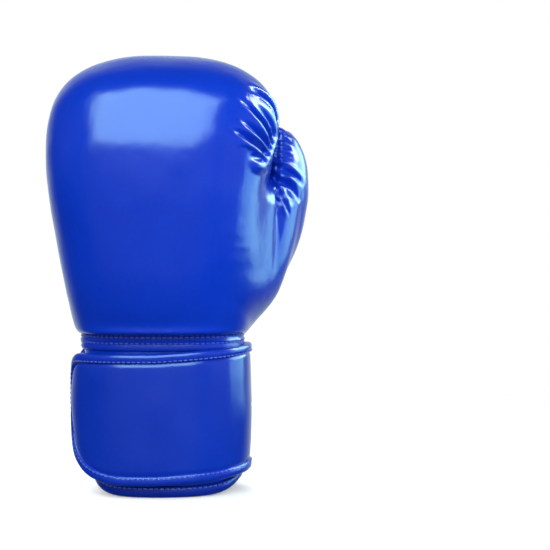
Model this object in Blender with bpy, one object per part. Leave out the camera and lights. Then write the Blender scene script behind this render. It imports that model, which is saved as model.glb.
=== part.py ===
"""Left-hand boxing glove with a wide hook-and-loop wrist strap, standing on its cuff.

+Z points to the knuckles, -Y is the back of the hand and +X is the thumb side. The origin is on
the floor under the middle of the glove's box. Sizes below are in millimetres; MM turns them into
metres where meshes are made.

The mitt is a fan of flat sections. Each section hangs between a point on the outer profile (back,
knuckles, front of the fist) and a point on the inner profile (palm, crease, underside of the
finger roll), so that the fist curls over without a section crossing the next. Every layer, from
leather to lining, is the same fan at another depth. The cuff, its two palm flaps and the strap
are layers of one upright oval.
"""

import math

import bmesh
import bpy
import numpy as np

MM = 0.001

# ---- driving dimensions ------------------------------------------------------------------------
LEATHER = 1.5
GAP = 0.3  # between neighbouring pieces
LINING = 1.0
BACK_SHARE = 0.45  # share of the back padding that is the outer, denser layer
SECTION_POWER = 2.5  # superellipse exponent of a mitt section
PIVOT = 0.38  # where a section is widest, as a share of the way from the inner profile

AXIS_SHIFT = (-10.4, -4.0, 0.0)  # from the fist's own axis to the middle of the glove's box

CUFF_TOP = 94.5
CUFF_POWER = 2.25
OVALS = {
    # half-width to the thumb side, to the pinky side, half-depth: each at the floor, at the top
    "cuff": ((50.5, 51.5), (44.0, 50.0), (35.5, 37.0)),
    "strap": ((57.2, 57.2), (58.8, 58.8), (44.0, 44.0)),
}
FLAP_SPLIT = (6.0, 174.0)  # angles on the oval where the palm flaps leave the back of the cuff
SLIT_X = -7.0  # the wrist slit is a little to the pinky side
SLIT_WIDTH = {"cuff": 9.0, "palm": 3.5}
SLIT_TOP = 138.0
FLAP_CORNER = 14.0  # radius of each flap's lower corner at the slit
RIM_WIDTH = 7.0

STRAP_FOOT, STRAP_TOP = 11.0, 92.0
STRAP_BINDING = 6.0
STRAP_TIP = 187.0  # angle where the free end stops, at the pinky edge
STRAP_TIP_ROUND = {"top": 13.0, "foot": 26.0}
STRAP_SEWN_X = -30.0  # the strap is sewn to the pinky-side flap from its edge to here
STRAP_SEAM_X = 16.5  # lapped seam between the two lengths on the palm side

# ---- mitt profile ------------------------------------------------------------------------------
# outer (y, z), inner (y, z), half-width to the thumb side, half-width to the pinky side,
# padding on the back, padding on the palm, padding at the sides as a share of the half-width
MITT_STATIONS = [
    ((-37, 97.5), (35, 97.5), 52.0, 50.0, 10, 8, 0.18),  # neck, over the cuff
    ((-49, 106), (37, 107), 57.5, 56.0, 20, 8, 0.24),
    ((-58, 132), (34, 132), 61.5, 62.5, 30, 8, 0.29),
    ((-63, 163), (29, 159), 65.0, 69.0, 34, 9, 0.33),
    ((-66, 195), (23, 186), 68.0, 74.0, 36, 10, 0.36),
    ((-64, 226), (19, 203), 72.0, 75.5, 36, 12, 0.37),  # the palm's crease begins
    ((-51, 256), (19, 210), 74.0, 75.0, 36, 13, 0.37),
    ((-23, 275), (21, 213), 72.0, 74.5, 36, 13, 0.37),  # knuckles
    ((8, 280), (23, 214), 65.0, 74.0, 36, 13, 0.37),
    ((42, 270), (26, 213), 57.0, 72.5, 30, 12, 0.37),
    ((65, 248), (30, 208), 51.0, 70.0, 26, 11, 0.37),  # front of the finger roll
    ((74, 219), (34, 200), 48.0, 66.0, 20, 9, 0.37),
    ((69, 197), (38, 192), 43.0, 58.0, 13, 8, 0.37),
    ((59, 185), (43, 187), 37.0, 49.0, 6, 5, 0.30),
    ((54, 182), (46, 185.5), 33.0, 44.0, 3, 3, 0.20),  # lower edge of the roll
]
MITT_GRID = [0, 0.5, 1, 2, 3, 4, 5, 6, 7, 8, 9, 10, 11, 12, 12.5, 13, 13.5, 14]
MITT_STEP = 15  # degrees round a section; 0 is the thumb side, 90 the back, 270 the palm
CREASE = 5
CAVITY_END = 12
PANEL_END = 13.5

# ---- thumb profile: middle (x, y, z), half-width in x, half-width in y -----------------------------
THUMB_STATIONS = [
    ((50, 14, 97), 8, 14),
    ((51, 18, 110), 13, 20),
    ((53.5, 23, 128), 20.5, 24),
    ((57, 27, 144), 25.5, 26),
    ((61.5, 30, 161), 28.5, 28),
    ((66.5, 32, 177), 27.5, 29),
    ((70.5, 33, 195), 25.5, 29),
    ((71.5, 33, 215), 22.7, 25),
    ((73, 34, 231), 14, 16),
    ((73, 34, 238.5), 3, 4),
]
THUMB_GRID = [0, 0.5, 1, 1.5, 2, 2.5, 3, 3.5, 4, 4.5, 5, 5.5, 6, 6.5, 7, 7.5, 8, 8.5, 9]
THUMB_STEP = 20  # degrees round the thumb; 0 is outward, 90 the palm side, 180 towards the fist
THUMB_PANEL_END = 8.5
POCKET_STATIONS = [
    ((24, -2, 108), 13, 12),
    ((37, 5, 124), 14, 13),
    ((50, 15, 142), 13.5, 13.5),
    ((60, 24, 163), 12.5, 13),
    ((67, 30, 186), 11.5, 12.5),
    ((70, 32, 207), 10.5, 11.5),
    ((71, 32.5, 217), 6, 6.5),
]


# ---- materials ---------------------------------------------------------------------------------
MATERIALS = {
    "blue_leather": ((0.012, 0.055, 0.50), 0.32),
    "blue_leather_dark": ((0.010, 0.035, 0.36), 0.38),
    "binding": ((0.010, 0.040, 0.44), 0.35),
    "foam": ((0.75, 0.74, 0.66), 0.95),
    "lining": ((0.02, 0.02, 0.025), 0.90),
    "hook": ((0.02, 0.03, 0.12), 0.95),
    "loop": ((0.015, 0.03, 0.16), 1.0),
    "elastic": ((0.03, 0.03, 0.04), 0.85),
    "piping": ((0.75, 0.78, 0.88), 0.35),
    "eyelet": ((0.55, 0.56, 0.60), 0.25),
}


def material(slot):
    """The Principled material of a slot, made once."""
    made = bpy.data.materials.get(slot)
    if made:
        return made
    colour, roughness = MATERIALS[slot]
    made = bpy.data.materials.new(slot)
    made.use_nodes = True
    shader = made.node_tree.nodes["Principled BSDF"]
    shader.inputs["Base Color"].default_value = (*colour, 1)
    shader.inputs["Roughness"].default_value = roughness
    shader.inputs["Metallic"].default_value = 1.0 if slot == "eyelet" else 0.0
    return made


# ---- scene helpers ------------------------------------------------------------------------------
def clear_scene():
    for obj in list(bpy.data.objects):
        bpy.data.objects.remove(obj)


def collection(name):
    made = bpy.data.collections.get(name)
    if not made:
        made = bpy.data.collections.new(name)
        bpy.context.scene.collection.children.link(made)
    return made


def add_mesh(name, points, faces, slot=None, cutter=False):
    """A mesh object from points in millimetres on the fist's axis, with its normals facing out."""
    mesh = bpy.data.meshes.new(name)
    shifted = (np.asarray(points, float) + AXIS_SHIFT) * MM
    mesh.from_pydata(shifted.tolist(), [], [list(map(int, face)) for face in faces])
    work = bmesh.new()
    work.from_mesh(mesh)
    bmesh.ops.remove_doubles(work, verts=work.verts, dist=0.00001)
    bmesh.ops.recalc_face_normals(work, faces=work.faces)
    work.to_mesh(mesh)
    work.free()
    obj = bpy.data.objects.new(name, mesh)
    collection("cutters" if cutter else "boxing_glove").objects.link(obj)
    if cutter:
        obj.hide_render = True
        obj.display_type = "WIRE"
    else:
        mesh.materials.append(material(slot))
        mesh.shade_smooth()
        mesh.set_sharp_from_angle(angle=math.radians(40))
    return obj


def boolean(obj, other, operation="DIFFERENCE"):
    modifier = obj.modifiers.new(f"{operation.lower()}_{other.name}", "BOOLEAN")
    modifier.operation = operation
    modifier.object = other
    return obj


def between(values, at):
    """Smooth value at a fractional index of a list of numbers or tuples (Catmull-Rom)."""
    values = np.asarray(values, float)
    last = len(values) - 1
    i = min(int(at), last - 1)
    t = at - i
    before, start = values[max(i - 1, 0)], values[i]
    end, after = values[i + 1], values[min(i + 2, last)]
    return 0.5 * (
        2 * start
        + (end - before) * t
        + (2 * before - 5 * start + 4 * end - after) * t**2
        + (3 * start - before - 3 * end + after) * t**3
    )


def grid_between(first, last, grid):
    """The grid's values from first to last, with first and last themselves."""
    return [first, *[g for g in grid if first + 1e-6 < g < last - 1e-6], last]


def box(name, x, y, z):
    """A box used as a cutter, from its ranges on the three axes."""
    points = [(i, j, k) for i in x for j in y for k in z]
    faces = [(0, 1, 3, 2), (4, 6, 7, 5), (0, 4, 5, 1), (2, 3, 7, 6), (0, 2, 6, 4), (1, 5, 7, 3)]
    return add_mesh(name, points, faces, cutter=True)


# ---- mitt ---------------------------------------------------------------------------------------
def mitt_station(at):
    outer = between([s[0] for s in MITT_STATIONS], at)
    inner = between([s[1] for s in MITT_STATIONS], at)
    thumb, pinky, back, palm, side = between([s[2:] for s in MITT_STATIONS], at)
    return outer, inner, thumb, pinky, back, palm, side


def mitt_point(at, degrees, layer):
    """A point of the mitt. layer is (share of the padding, extra depth in mm)."""
    outer, inner, thumb, pinky, back, palm, side = mitt_station(at)
    share, extra = layer
    span = np.linalg.norm(outer - inner)
    along = (outer - inner) / span
    middle = inner + along * span * PIVOT
    c, s = math.cos(math.radians(degrees)), math.sin(math.radians(degrees))
    half = thumb if c > 0 else pinky
    width = half - share * side * half - extra
    if s > 0:
        height = (1 - PIVOT) * span - share * back - extra
    else:
        height = PIVOT * span - share * palm - extra
    reach = (abs(c) ** SECTION_POWER + abs(s) ** SECTION_POWER) ** (-1 / SECTION_POWER)
    y, z = middle + along * max(height, 0.4) * reach * s
    return (max(width, 0.4) * reach * c, y, z)


def on_chord(point, degrees, step):
    """The point on the facet of a ring with a corner every step degrees."""
    low = math.floor(degrees / step + 1e-9) * step
    t = (degrees - low) / step
    if t < 1e-6:
        return np.array(point(low))
    return np.array(point(low)) * (1 - t) + np.array(point(low + step)) * t


def on_grid(point, at, grid):
    """The point on the facet between the two stations of the grid round a station."""
    high = next(g for g in grid if g >= at - 1e-6)
    low = max((g for g in grid if g <= at + 1e-6), default=high)
    t = (at - low) / (high - low) if high - low > 1e-6 else 0.0
    if t < 1e-6:
        return np.array(point(low))
    return np.array(point(low)) * (1 - t) + np.array(point(high)) * t


def patch_faces(rows, columns):
    """Faces of a closed slab whose two sides are grids of rows by columns, the second after the first."""
    side = rows * columns
    faces = []
    for i in range(rows - 1):
        for j in range(columns - 1):
            a = i * columns + j
            b, c, d = a + 1, a + columns + 1, a + columns
            faces.append((a, b, c, d))
            faces.append((a + side, d + side, c + side, b + side))
    for i in range(rows - 1):
        for j in (0, columns - 1):
            a, d = i * columns + j, (i + 1) * columns + j
            faces.append((a, d, d + side, a + side))
    for j in range(columns - 1):
        for i in (0, rows - 1):
            a, b = i * columns + j, i * columns + j + 1
            faces.append((a, b, b + side, a + side))
    return faces


def mitt_patch(name, slot, start, end, low, high, outer, inner):
    """A slab of the mitt between two stations, two angles and two layers."""
    stations = grid_between(start, end, MITT_GRID)
    edge = GAP / 2 / 70 * 57.3  # half a gap as an angle on a section about 70 mm in radius
    angles = grid_between(low + edge, high - edge, range(-720, 720, MITT_STEP))
    points = []
    for layer in (outer, inner):
        for at in stations:
            for angle in angles:
                points.append(
                    on_grid(
                        lambda u: on_chord(lambda d: mitt_point(u, d, layer), angle, MITT_STEP),
                        at,
                        MITT_GRID,
                    )
                )
    return add_mesh(name, points, patch_faces(len(stations), len(angles)), slot)


def tube_faces(rows, columns, start=0):
    """Faces of an open tube of rings, columns points round each."""
    faces = []
    for i in range(rows - 1):
        for j in range(columns):
            k = (j + 1) % columns
            a, b = start + i * columns + j, start + i * columns + k
            faces.append((a, b, b + columns, a + columns))
    return faces


def closed_tube(rings):
    """Points and faces of rings of equal length with both ends capped."""
    columns = len(rings[0])
    points = [point for ring in rings for point in ring]
    faces = tube_faces(len(rings), columns)
    faces.append(tuple(range(columns)))
    faces.append(tuple(range((len(rings) - 1) * columns, len(rings) * columns)))
    return points, faces


def sock(outer_rings, inner_rings):
    """Points and faces of a shell that is open at its first ring and closed at its last."""
    columns = len(outer_rings[0])
    outer_count, inner_count = len(outer_rings), len(inner_rings)
    points = [point for ring in (*outer_rings, *inner_rings) for point in ring]
    inner_start = outer_count * columns
    faces = tube_faces(outer_count, columns) + tube_faces(inner_count, columns, inner_start)
    faces.append(tuple(range((outer_count - 1) * columns, outer_count * columns)))
    faces.append(tuple(range(inner_start + (inner_count - 1) * columns, len(points))))
    for j in range(columns):
        k = (j + 1) % columns
        faces.append((j, k, inner_start + k, inner_start + j))
    return points, faces


def mitt_rings(start, end, layer):
    angles = range(0, 360, MITT_STEP)
    return [
        [on_grid(lambda u: mitt_point(u, angle, layer), at, MITT_GRID) for angle in angles]
        for at in grid_between(start, end, MITT_GRID)
    ]


def mitt_solid(name, layer, start=0, end=14):
    """The whole mitt at one depth, as a closed cutter."""
    return add_mesh(name, *closed_tube(mitt_rings(start, end, layer)), cutter=True)


# ---- thumb --------------------------------------------------------------------------------------
def thumb_point(stations, at, degrees, depth):
    middle = between([s[0] for s in stations], at)
    half = np.maximum(between([s[1:] for s in stations], at) - depth, 0.4)
    c, s = math.cos(math.radians(degrees)), math.sin(math.radians(degrees))
    return (middle[0] + half[0] * c, middle[1] + half[1] * s, middle[2])


def thumb_patch(name, slot, start, end, low, high, outer, inner):
    rows = grid_between(start, end, THUMB_GRID)
    edge = GAP / 2 / 24 * 57.3  # half a gap as an angle on a thumb about 24 mm in radius
    angles = grid_between(low + edge, high - edge, range(-720, 720, THUMB_STEP))
    points = []
    for depth in (outer, inner):

        def ring_point(at, angle, depth=depth):
            corner_point = lambda d: thumb_point(THUMB_STATIONS, at, d, depth)
            return on_chord(corner_point, angle, THUMB_STEP)

        for row in rows:
            for angle in angles:
                points.append(on_grid(lambda u: ring_point(u, angle), row, THUMB_GRID))
    return add_mesh(name, points, patch_faces(len(rows), len(angles)), slot)


def thumb_rings(start, end, depth, stations=THUMB_STATIONS):
    return [
        [
            on_grid(lambda u: thumb_point(stations, u, angle, depth), row, THUMB_GRID)
            for angle in range(0, 360, THUMB_STEP)
        ]
        for row in grid_between(start, end, THUMB_GRID)
    ]


# ---- cuff and strap ------------------------------------------------------------------------------
CUFF_STEP = 10  # degrees; 0 is the thumb edge, 90 the palm, 180 the pinky edge, 270 the back


def oval_corner(surface, degrees, z):
    """A corner of an oval at a height. surface is (oval, depth): depth moves it in along the normal."""
    oval, depth = surface
    rise = min(max(z / CUFF_TOP, 0), 1)
    thumb, pinky, b = (foot + (top - foot) * rise for foot, top in OVALS[oval])
    c, s = math.cos(math.radians(degrees)), math.sin(math.radians(degrees))
    a = thumb if c > 0 else pinky
    reach = (abs(c) ** CUFF_POWER + abs(s) ** CUFF_POWER) ** (-1 / CUFF_POWER)
    x, y = a * reach * c, b * reach * s
    normal = np.array(
        [
            math.copysign(abs(x / a) ** (CUFF_POWER - 1), c) / a,
            math.copysign(abs(y / b) ** (CUFF_POWER - 1), s) / b,
        ]
    )
    normal /= np.linalg.norm(normal)
    return (x - depth * normal[0], y - depth * normal[1], z)


def oval_point(surface, degrees, z):
    return on_chord(lambda d: oval_corner(surface, d, z), degrees, CUFF_STEP)


def angle_at_x(oval, x):
    """The angle on the palm side where an oval has this x, half-way up."""
    low, high = 0.0, 180.0
    for _ in range(40):
        half = (low + high) / 2
        low, high = (half, high) if oval_point((oval, 0), half, 50)[0] > x else (low, half)
    return (low + high) / 2


def degree_length(oval, degrees):
    """Millimetres of an oval's outline to a degree, at an angle."""
    ends = [np.array(oval_corner((oval, 0), degrees + d, 50)) for d in (-1, 1)]
    return float(np.linalg.norm(ends[1] - ends[0])) / 2


def band(name, slot, low, high, foot, top, outer, inner, extra=()):
    """A slab between two surfaces. foot and top are heights, or functions of the angle."""
    foot_at = foot if callable(foot) else (lambda d: foot)
    top_at = top if callable(top) else (lambda d: top)
    angles = grid_between(low, high, sorted({*range(-360, 721, CUFF_STEP), *extra}))
    points = []
    for surface in (outer, inner):
        for end_at in (foot_at, top_at):
            points += [oval_point(surface, angle, end_at(angle)) for angle in angles]
    return add_mesh(name, points, patch_faces(2, len(angles)), slot)


FLAT = ((0, 0), (1, 0), (1, 1), (0, 1))  # share of the width, share of the thickness
ROLLED = ((0, 0.2), (0.25, 0), (1, 0), (1, 1), (0.25, 1), (0, 0.8))


def edging(name, slot, oval, path, width, outer, inner, profile=FLAT):
    """A binding to the left of a path of (angle, z) on an oval."""
    rings = []
    for i, (angle, z) in enumerate(path):
        before, after = path[max(i - 1, 0)], path[min(i + 1, len(path) - 1)]
        scale = degree_length(oval, angle)
        along = np.array([(after[0] - before[0]) * scale, after[1] - before[1]])
        left = np.array([-along[1], along[0]]) / np.linalg.norm(along) * width
        ring = []
        for across, through in profile:
            where = (angle + left[0] * across / scale, z + left[1] * across)
            ends = [np.array(oval_point(surface, *where)) for surface in (outer, inner)]
            ring.append(ends[0] * (1 - through) + ends[1] * through)
        rings.append(ring)
    return add_mesh(name, *closed_tube(rings), slot)


def along_oval(start, end, z):
    """A level path from one angle to another with a point at each corner of the oval."""
    low, high = min(start, end), max(start, end)
    angles = grid_between(low, high, range(-720, 720, CUFF_STEP))
    return [(angle, z) for angle in (angles if start < end else reversed(angles))]


def corner(centre, radius, start, end, scale, steps=4):
    """A round corner on an oval, from one direction to another, without its first point."""
    turns = [math.radians(start + (end - start) * i / steps) for i in range(1, steps + 1)]
    return [
        (centre[0] + radius * math.cos(t) / scale, centre[1] + radius * math.sin(t))
        for t in turns
    ]


def without_near(path, oval, least=1.0):
    """The path without points closer than least millimetres to the one before."""
    kept = [path[0]]
    for point in path[1:-1]:
        scale = degree_length(oval, point[0])
        if math.hypot((point[0] - kept[-1][0]) * scale, point[1] - kept[-1][1]) > least:
            kept.append(point)
    return [*kept, path[-1]]


# ---- the glove's pieces --------------------------------------------------------------------------
LEATHER_LAYERS = ((0, 0), (0, LEATHER))
OUTER_FOAM_LAYERS = ((0, LEATHER + GAP), (BACK_SHARE, 0))
INNER_FOAM_LAYERS = ((BACK_SHARE, GAP), (1, -GAP))
PALM_FOAM_LAYERS = ((0, LEATHER + GAP), (1, -GAP))


def build_mitt():
    """Leather panels, paddings, grip bar and lining of the part that holds the fingers and palm."""
    pieces = {}
    leather = "blue_leather"
    pieces["back_panel"] = mitt_patch(
        "back_panel", leather, 0, PANEL_END, 0, 180, *LEATHER_LAYERS
    )
    pieces["pinky_side_panel"] = mitt_patch(
        "pinky_side_panel", leather, 0, PANEL_END, 180, 210, *LEATHER_LAYERS
    )
    pieces["thumb_side_panel"] = mitt_patch(
        "thumb_side_panel", leather, 0, PANEL_END, 330, 360, *LEATHER_LAYERS
    )
    pieces["palm_panel"] = mitt_patch(
        "palm_panel", "blue_leather_dark", 0, CREASE, 210, 330, *LEATHER_LAYERS
    )
    pieces["grip_panel"] = mitt_patch(
        "grip_panel", "blue_leather_dark", CREASE + 0.02, PANEL_END, 210, 330, *LEATHER_LAYERS
    )
    pieces["outer_back_foam"] = mitt_patch(
        "outer_back_foam", "foam", 0.1, 12.5, 0, 180, *OUTER_FOAM_LAYERS
    )
    pieces["inner_back_foam"] = mitt_patch(
        "inner_back_foam", "foam", 0.1, CAVITY_END, 0, 180, *INNER_FOAM_LAYERS
    )
    pieces["palm_foam"] = mitt_patch(
        "palm_foam", "foam", 0.1, CREASE - 0.5, 180, 360, *PALM_FOAM_LAYERS
    )
    pieces["finger_foam"] = mitt_patch(
        "finger_foam", "foam", CREASE - 0.45, CAVITY_END, 180, 360, *PALM_FOAM_LAYERS
    )
    edge = closed_tube(mitt_rings(PANEL_END + 0.04, 14, (0, 0)))
    pieces["finger_edge_strip"] = add_mesh("finger_edge_strip", *edge, leather)
    lining = sock(mitt_rings(0, CAVITY_END, (1, 0)), mitt_rings(0, CAVITY_END - 0.1, (1, LINING)))
    pieces["hand_lining"] = add_mesh("hand_lining", *lining, "lining")
    return pieces


def build_grip_bar(mitt):
    """The firm rod across the fist, in a tunnel through the padding behind the crease."""
    y, z = 16.2, 219.8

    def rod(ends, radius):
        turns = [math.tau * i / 12 for i in range(12)]
        rings = [
            [(x, y + radius * math.cos(t), z + radius * math.sin(t)) for t in turns] for x in ends
        ]
        return closed_tube(rings)

    add_mesh("grip_bar", *rod((-36, 28), 3.5), "foam")
    boolean(mitt["finger_foam"], add_mesh("tunnel", *rod((-90, 90), 3.8), cutter=True))


def palm_at(x, z, depth):
    """The point of the palm's leather with this x and z, moved in by depth."""
    low, high = 0.0, float(CREASE)
    for _ in range(30):
        at = (low + high) / 2
        left, right = 181.0, 359.0
        for _ in range(30):
            angle = (left + right) / 2
            if mitt_point(at, angle, (0, 0))[0] < x:
                left = angle
            else:
                right = angle
        if mitt_point(at, angle, (0, 0))[2] < z:
            low = at
        else:
            high = at
    return mitt_point(at, angle, (0, depth))


def divided(path, most):
    """The path with points added so that no step is longer than most."""
    made = [path[0]]
    for start, end in zip(path, path[1:]):
        steps = math.ceil(math.dist(start, end) / most)
        for i in range(1, steps + 1):
            made.append(tuple(a + (b - a) * i / steps for a, b in zip(start, end)))
    return made


def palm_ribbon(name, slot, path, width, outer=-1.9, inner=-0.7, cutter=False):
    """A strip along a path of (x, z) on the palm's leather."""
    path = divided(path, 7.0)
    rings = []
    for i, (x, z) in enumerate(path):
        before, after = path[max(i - 1, 0)], path[min(i + 1, len(path) - 1)]
        along = np.array([after[0] - before[0], after[1] - before[1]], float)
        side = np.array([-along[1], along[0]]) / np.linalg.norm(along) * width / 2
        rings.append(
            [
                palm_at(x + side[0], z + side[1], outer),
                palm_at(x - side[0], z - side[1], outer),
                palm_at(x - side[0], z - side[1], inner),
                palm_at(x + side[0], z + side[1], inner),
            ]
        )
    return add_mesh(name, *closed_tube(rings), slot, cutter=cutter)


def arch(centre, radius, foot, steps=8):
    """A path up, over a half circle and down again."""
    turns = [math.pi * (1 - i / steps) for i in range(steps + 1)]
    top = [(centre[0] + radius * math.cos(t), centre[1] + radius * math.sin(t)) for t in turns]
    return [(centre[0] - radius, foot), *top, (centre[0] + radius, foot)]


def eyelet(name, x, z, outer_radius=3.0, inner_radius=1.4):
    rings = []
    for i in range(14):
        turn = math.tau * i / 14
        rings.append(
            [
                palm_at(x + r * math.cos(turn), z + r * math.sin(turn), depth)
                for r, depth in (
                    (outer_radius, -1.2),
                    (inner_radius, -1.2),
                    (inner_radius, -0.5),
                    (outer_radius, -0.5),
                )
            ]
        )
    points = [point for ring in rings for point in ring]
    faces = tube_faces(len(rings), 4)
    last = (len(rings) - 1) * 4
    faces += [(last + j, last + (j + 1) % 4, (j + 1) % 4, j) for j in range(4)]
    add_mesh(name, points, faces, "eyelet")


def build_palm_details(mitt):
    """The wrist slit and what is sewn round it."""
    half = SLIT_WIDTH["palm"] / 2
    slit = box("slit_cutter", (SLIT_X - half, SLIT_X + half), (0, 60), (90, SLIT_TOP))
    for name in ("palm_panel", "palm_foam", "hand_lining"):
        boolean(mitt[name], slit)
    palm_ribbon("slit_binding", "binding", arch((SLIT_X, SLIT_TOP - 3), 4.3, 98.5), 4.6)
    palm_ribbon("wrist_arch", "blue_leather_dark", arch((-8.4, 142.0), 19.4, 98.5), 6.5)
    palm_ribbon("wrist_tab_pinky", "blue_leather_dark", [(-24.0, 115), (-14.0, 115)], 23.5)
    palm_ribbon("wrist_tab_thumb", "blue_leather_dark", [(0, 117), (7.2, 117)], 23.5)
    palm_ribbon("palm_seam_strip", "binding", [(-53, 157), (-43, 146.5), (-33, 136)], 5.0)
    for i, x in enumerate((-44, -31, -18)):
        eyelet(f"eyelet_{i + 1}", x, 190.0)


def build_thumb(mitt):
    """Leather, padding and lining of the thumb, cut where the thumb meets the mitt."""
    mitt_body = mitt_solid("mitt_body", (0, -GAP))
    cavity_body = mitt_solid("cavity_body", (1, -GAP), end=CAVITY_END)
    last = len(POCKET_STATIONS) - 1
    pocket = closed_tube(thumb_rings(0, last, -LINING - GAP, POCKET_STATIONS))
    pocket_body = add_mesh("pocket_body", *pocket, cutter=True)

    end = THUMB_PANEL_END
    outer = thumb_patch("thumb_outer_panel", "blue_leather", 0.5, end, -80, 120, 0, LEATHER)
    inner = thumb_patch("thumb_inner_panel", "blue_leather_dark", 0.5, end, 120, 280, 0, LEATHER)
    cap = add_mesh("thumb_tip_panel", *closed_tube(thumb_rings(end + 0.02, 9, 0)), "blue_leather")
    foam_rings = thumb_rings(0.5, end - 0.1, LEATHER + GAP)
    foam = add_mesh("thumb_foam", *closed_tube(foam_rings), "foam")
    lining = add_mesh(
        "thumb_lining",
        *sock(
            thumb_rings(0, last - 0.05, -LINING, POCKET_STATIONS),
            thumb_rings(0, last - 0.15, 0, POCKET_STATIONS),
        ),
        "lining",
    )
    for piece in (outer, inner, cap, foam):
        boolean(piece, mitt_body)
    boolean(foam, pocket_body)

    line = [(38, 172), (31, 161), (30, 144), (32, 128), (37, 112), (46, 100)]
    palm_ribbon("thumb_piping", "piping", line, 1.8)
    around = palm_ribbon("piping_cutter", None, line, 2.6, -2.2, 1.0, cutter=True)
    for piece in (outer, inner, foam):
        boolean(piece, around)
    boolean(lining, cavity_body)
    for name in ("back_panel", "palm_panel", "thumb_side_panel", "hand_lining", "palm_foam"):
        boolean(mitt[name], pocket_body)
    for name in ("outer_back_foam", "inner_back_foam"):
        boolean(mitt[name], pocket_body)


def build_cuff():
    """The back of the cuff, its two palm flaps and the welt that joins it to the mitt."""
    edge = GAP / 2 / 0.8  # half a gap as an angle on the oval, about 0.8 mm to a degree
    half = SLIT_WIDTH["cuff"] / 2
    slit = (angle_at_x("cuff", SLIT_X + half), angle_at_x("cuff", SLIT_X - half))
    thumb_split, pinky_split = FLAP_SPLIT
    layers = {
        "leather": ("blue_leather", ("cuff", 0), ("cuff", LEATHER)),
        "foam": ("foam", ("cuff", LEATHER + GAP), ("cuff", 7.7)),
        "lining": ("lining", ("cuff", 8.0), ("cuff", 9.0)),
    }
    rim_outer, rim_inner = ("cuff", -1.2), ("cuff", 10.0)
    foot = RIM_WIDTH + GAP

    low, high = pinky_split + edge, 360 + thumb_split - edge
    for layer, (slot, outer, inner) in layers.items():
        band(f"cuff_back_{layer}", slot, low, high, foot, CUFF_TOP, outer, inner)
    rim_path = along_oval(low, high, 0)
    edging("cuff_back_rim", "binding", "cuff", rim_path, RIM_WIDTH, rim_outer, rim_inner, ROLLED)

    for side, split, slit_edge, sign in (
        ("thumb", thumb_split + edge, slit[0], -1),
        ("pinky", pinky_split - edge, slit[1], 1),
    ):
        scale = degree_length("cuff", slit_edge)

        def foot_at(angle, slit_edge=slit_edge, scale=scale):
            past = abs(angle - slit_edge) * scale
            if past >= FLAP_CORNER:
                return foot
            radius = FLAP_CORNER - foot
            return FLAP_CORNER - math.sqrt(max(radius**2 - (FLAP_CORNER - past) ** 2, 0))

        near = slit_edge + sign * foot / scale
        extra = [
            slit_edge + sign * (FLAP_CORNER - (FLAP_CORNER - foot) * math.cos(t)) / scale
            for t in (math.radians(22.5 * k) for k in range(1, 5))
        ]
        low, high = min(split, near), max(split, near)
        for layer, (slot, outer, inner) in layers.items():
            name = f"{side}_flap_{layer}"
            band(name, slot, low, high, foot_at, CUFF_TOP, outer, inner, extra)
        centre = (slit_edge + sign * FLAP_CORNER / scale, FLAP_CORNER)
        start, end = (-90, 0) if sign < 0 else (-90, -180)
        path = [
            *along_oval(split, centre[0], 0),
            *corner(centre, FLAP_CORNER, start, end, scale),
            (slit_edge, 50),
            (slit_edge, CUFF_TOP),
        ]
        path = without_near(path, "cuff")
        path = path if sign < 0 else path[::-1]
        name = f"{side}_flap_rim"
        edging(name, "binding", "cuff", path, RIM_WIDTH, rim_outer, rim_inner, ROLLED)

    welt = (("cuff", -1.0), ("cuff", 8.0))
    band("neck_welt", "binding", slit[1], 360 + slit[0], CUFF_TOP + GAP, 97.2, *welt)


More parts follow.
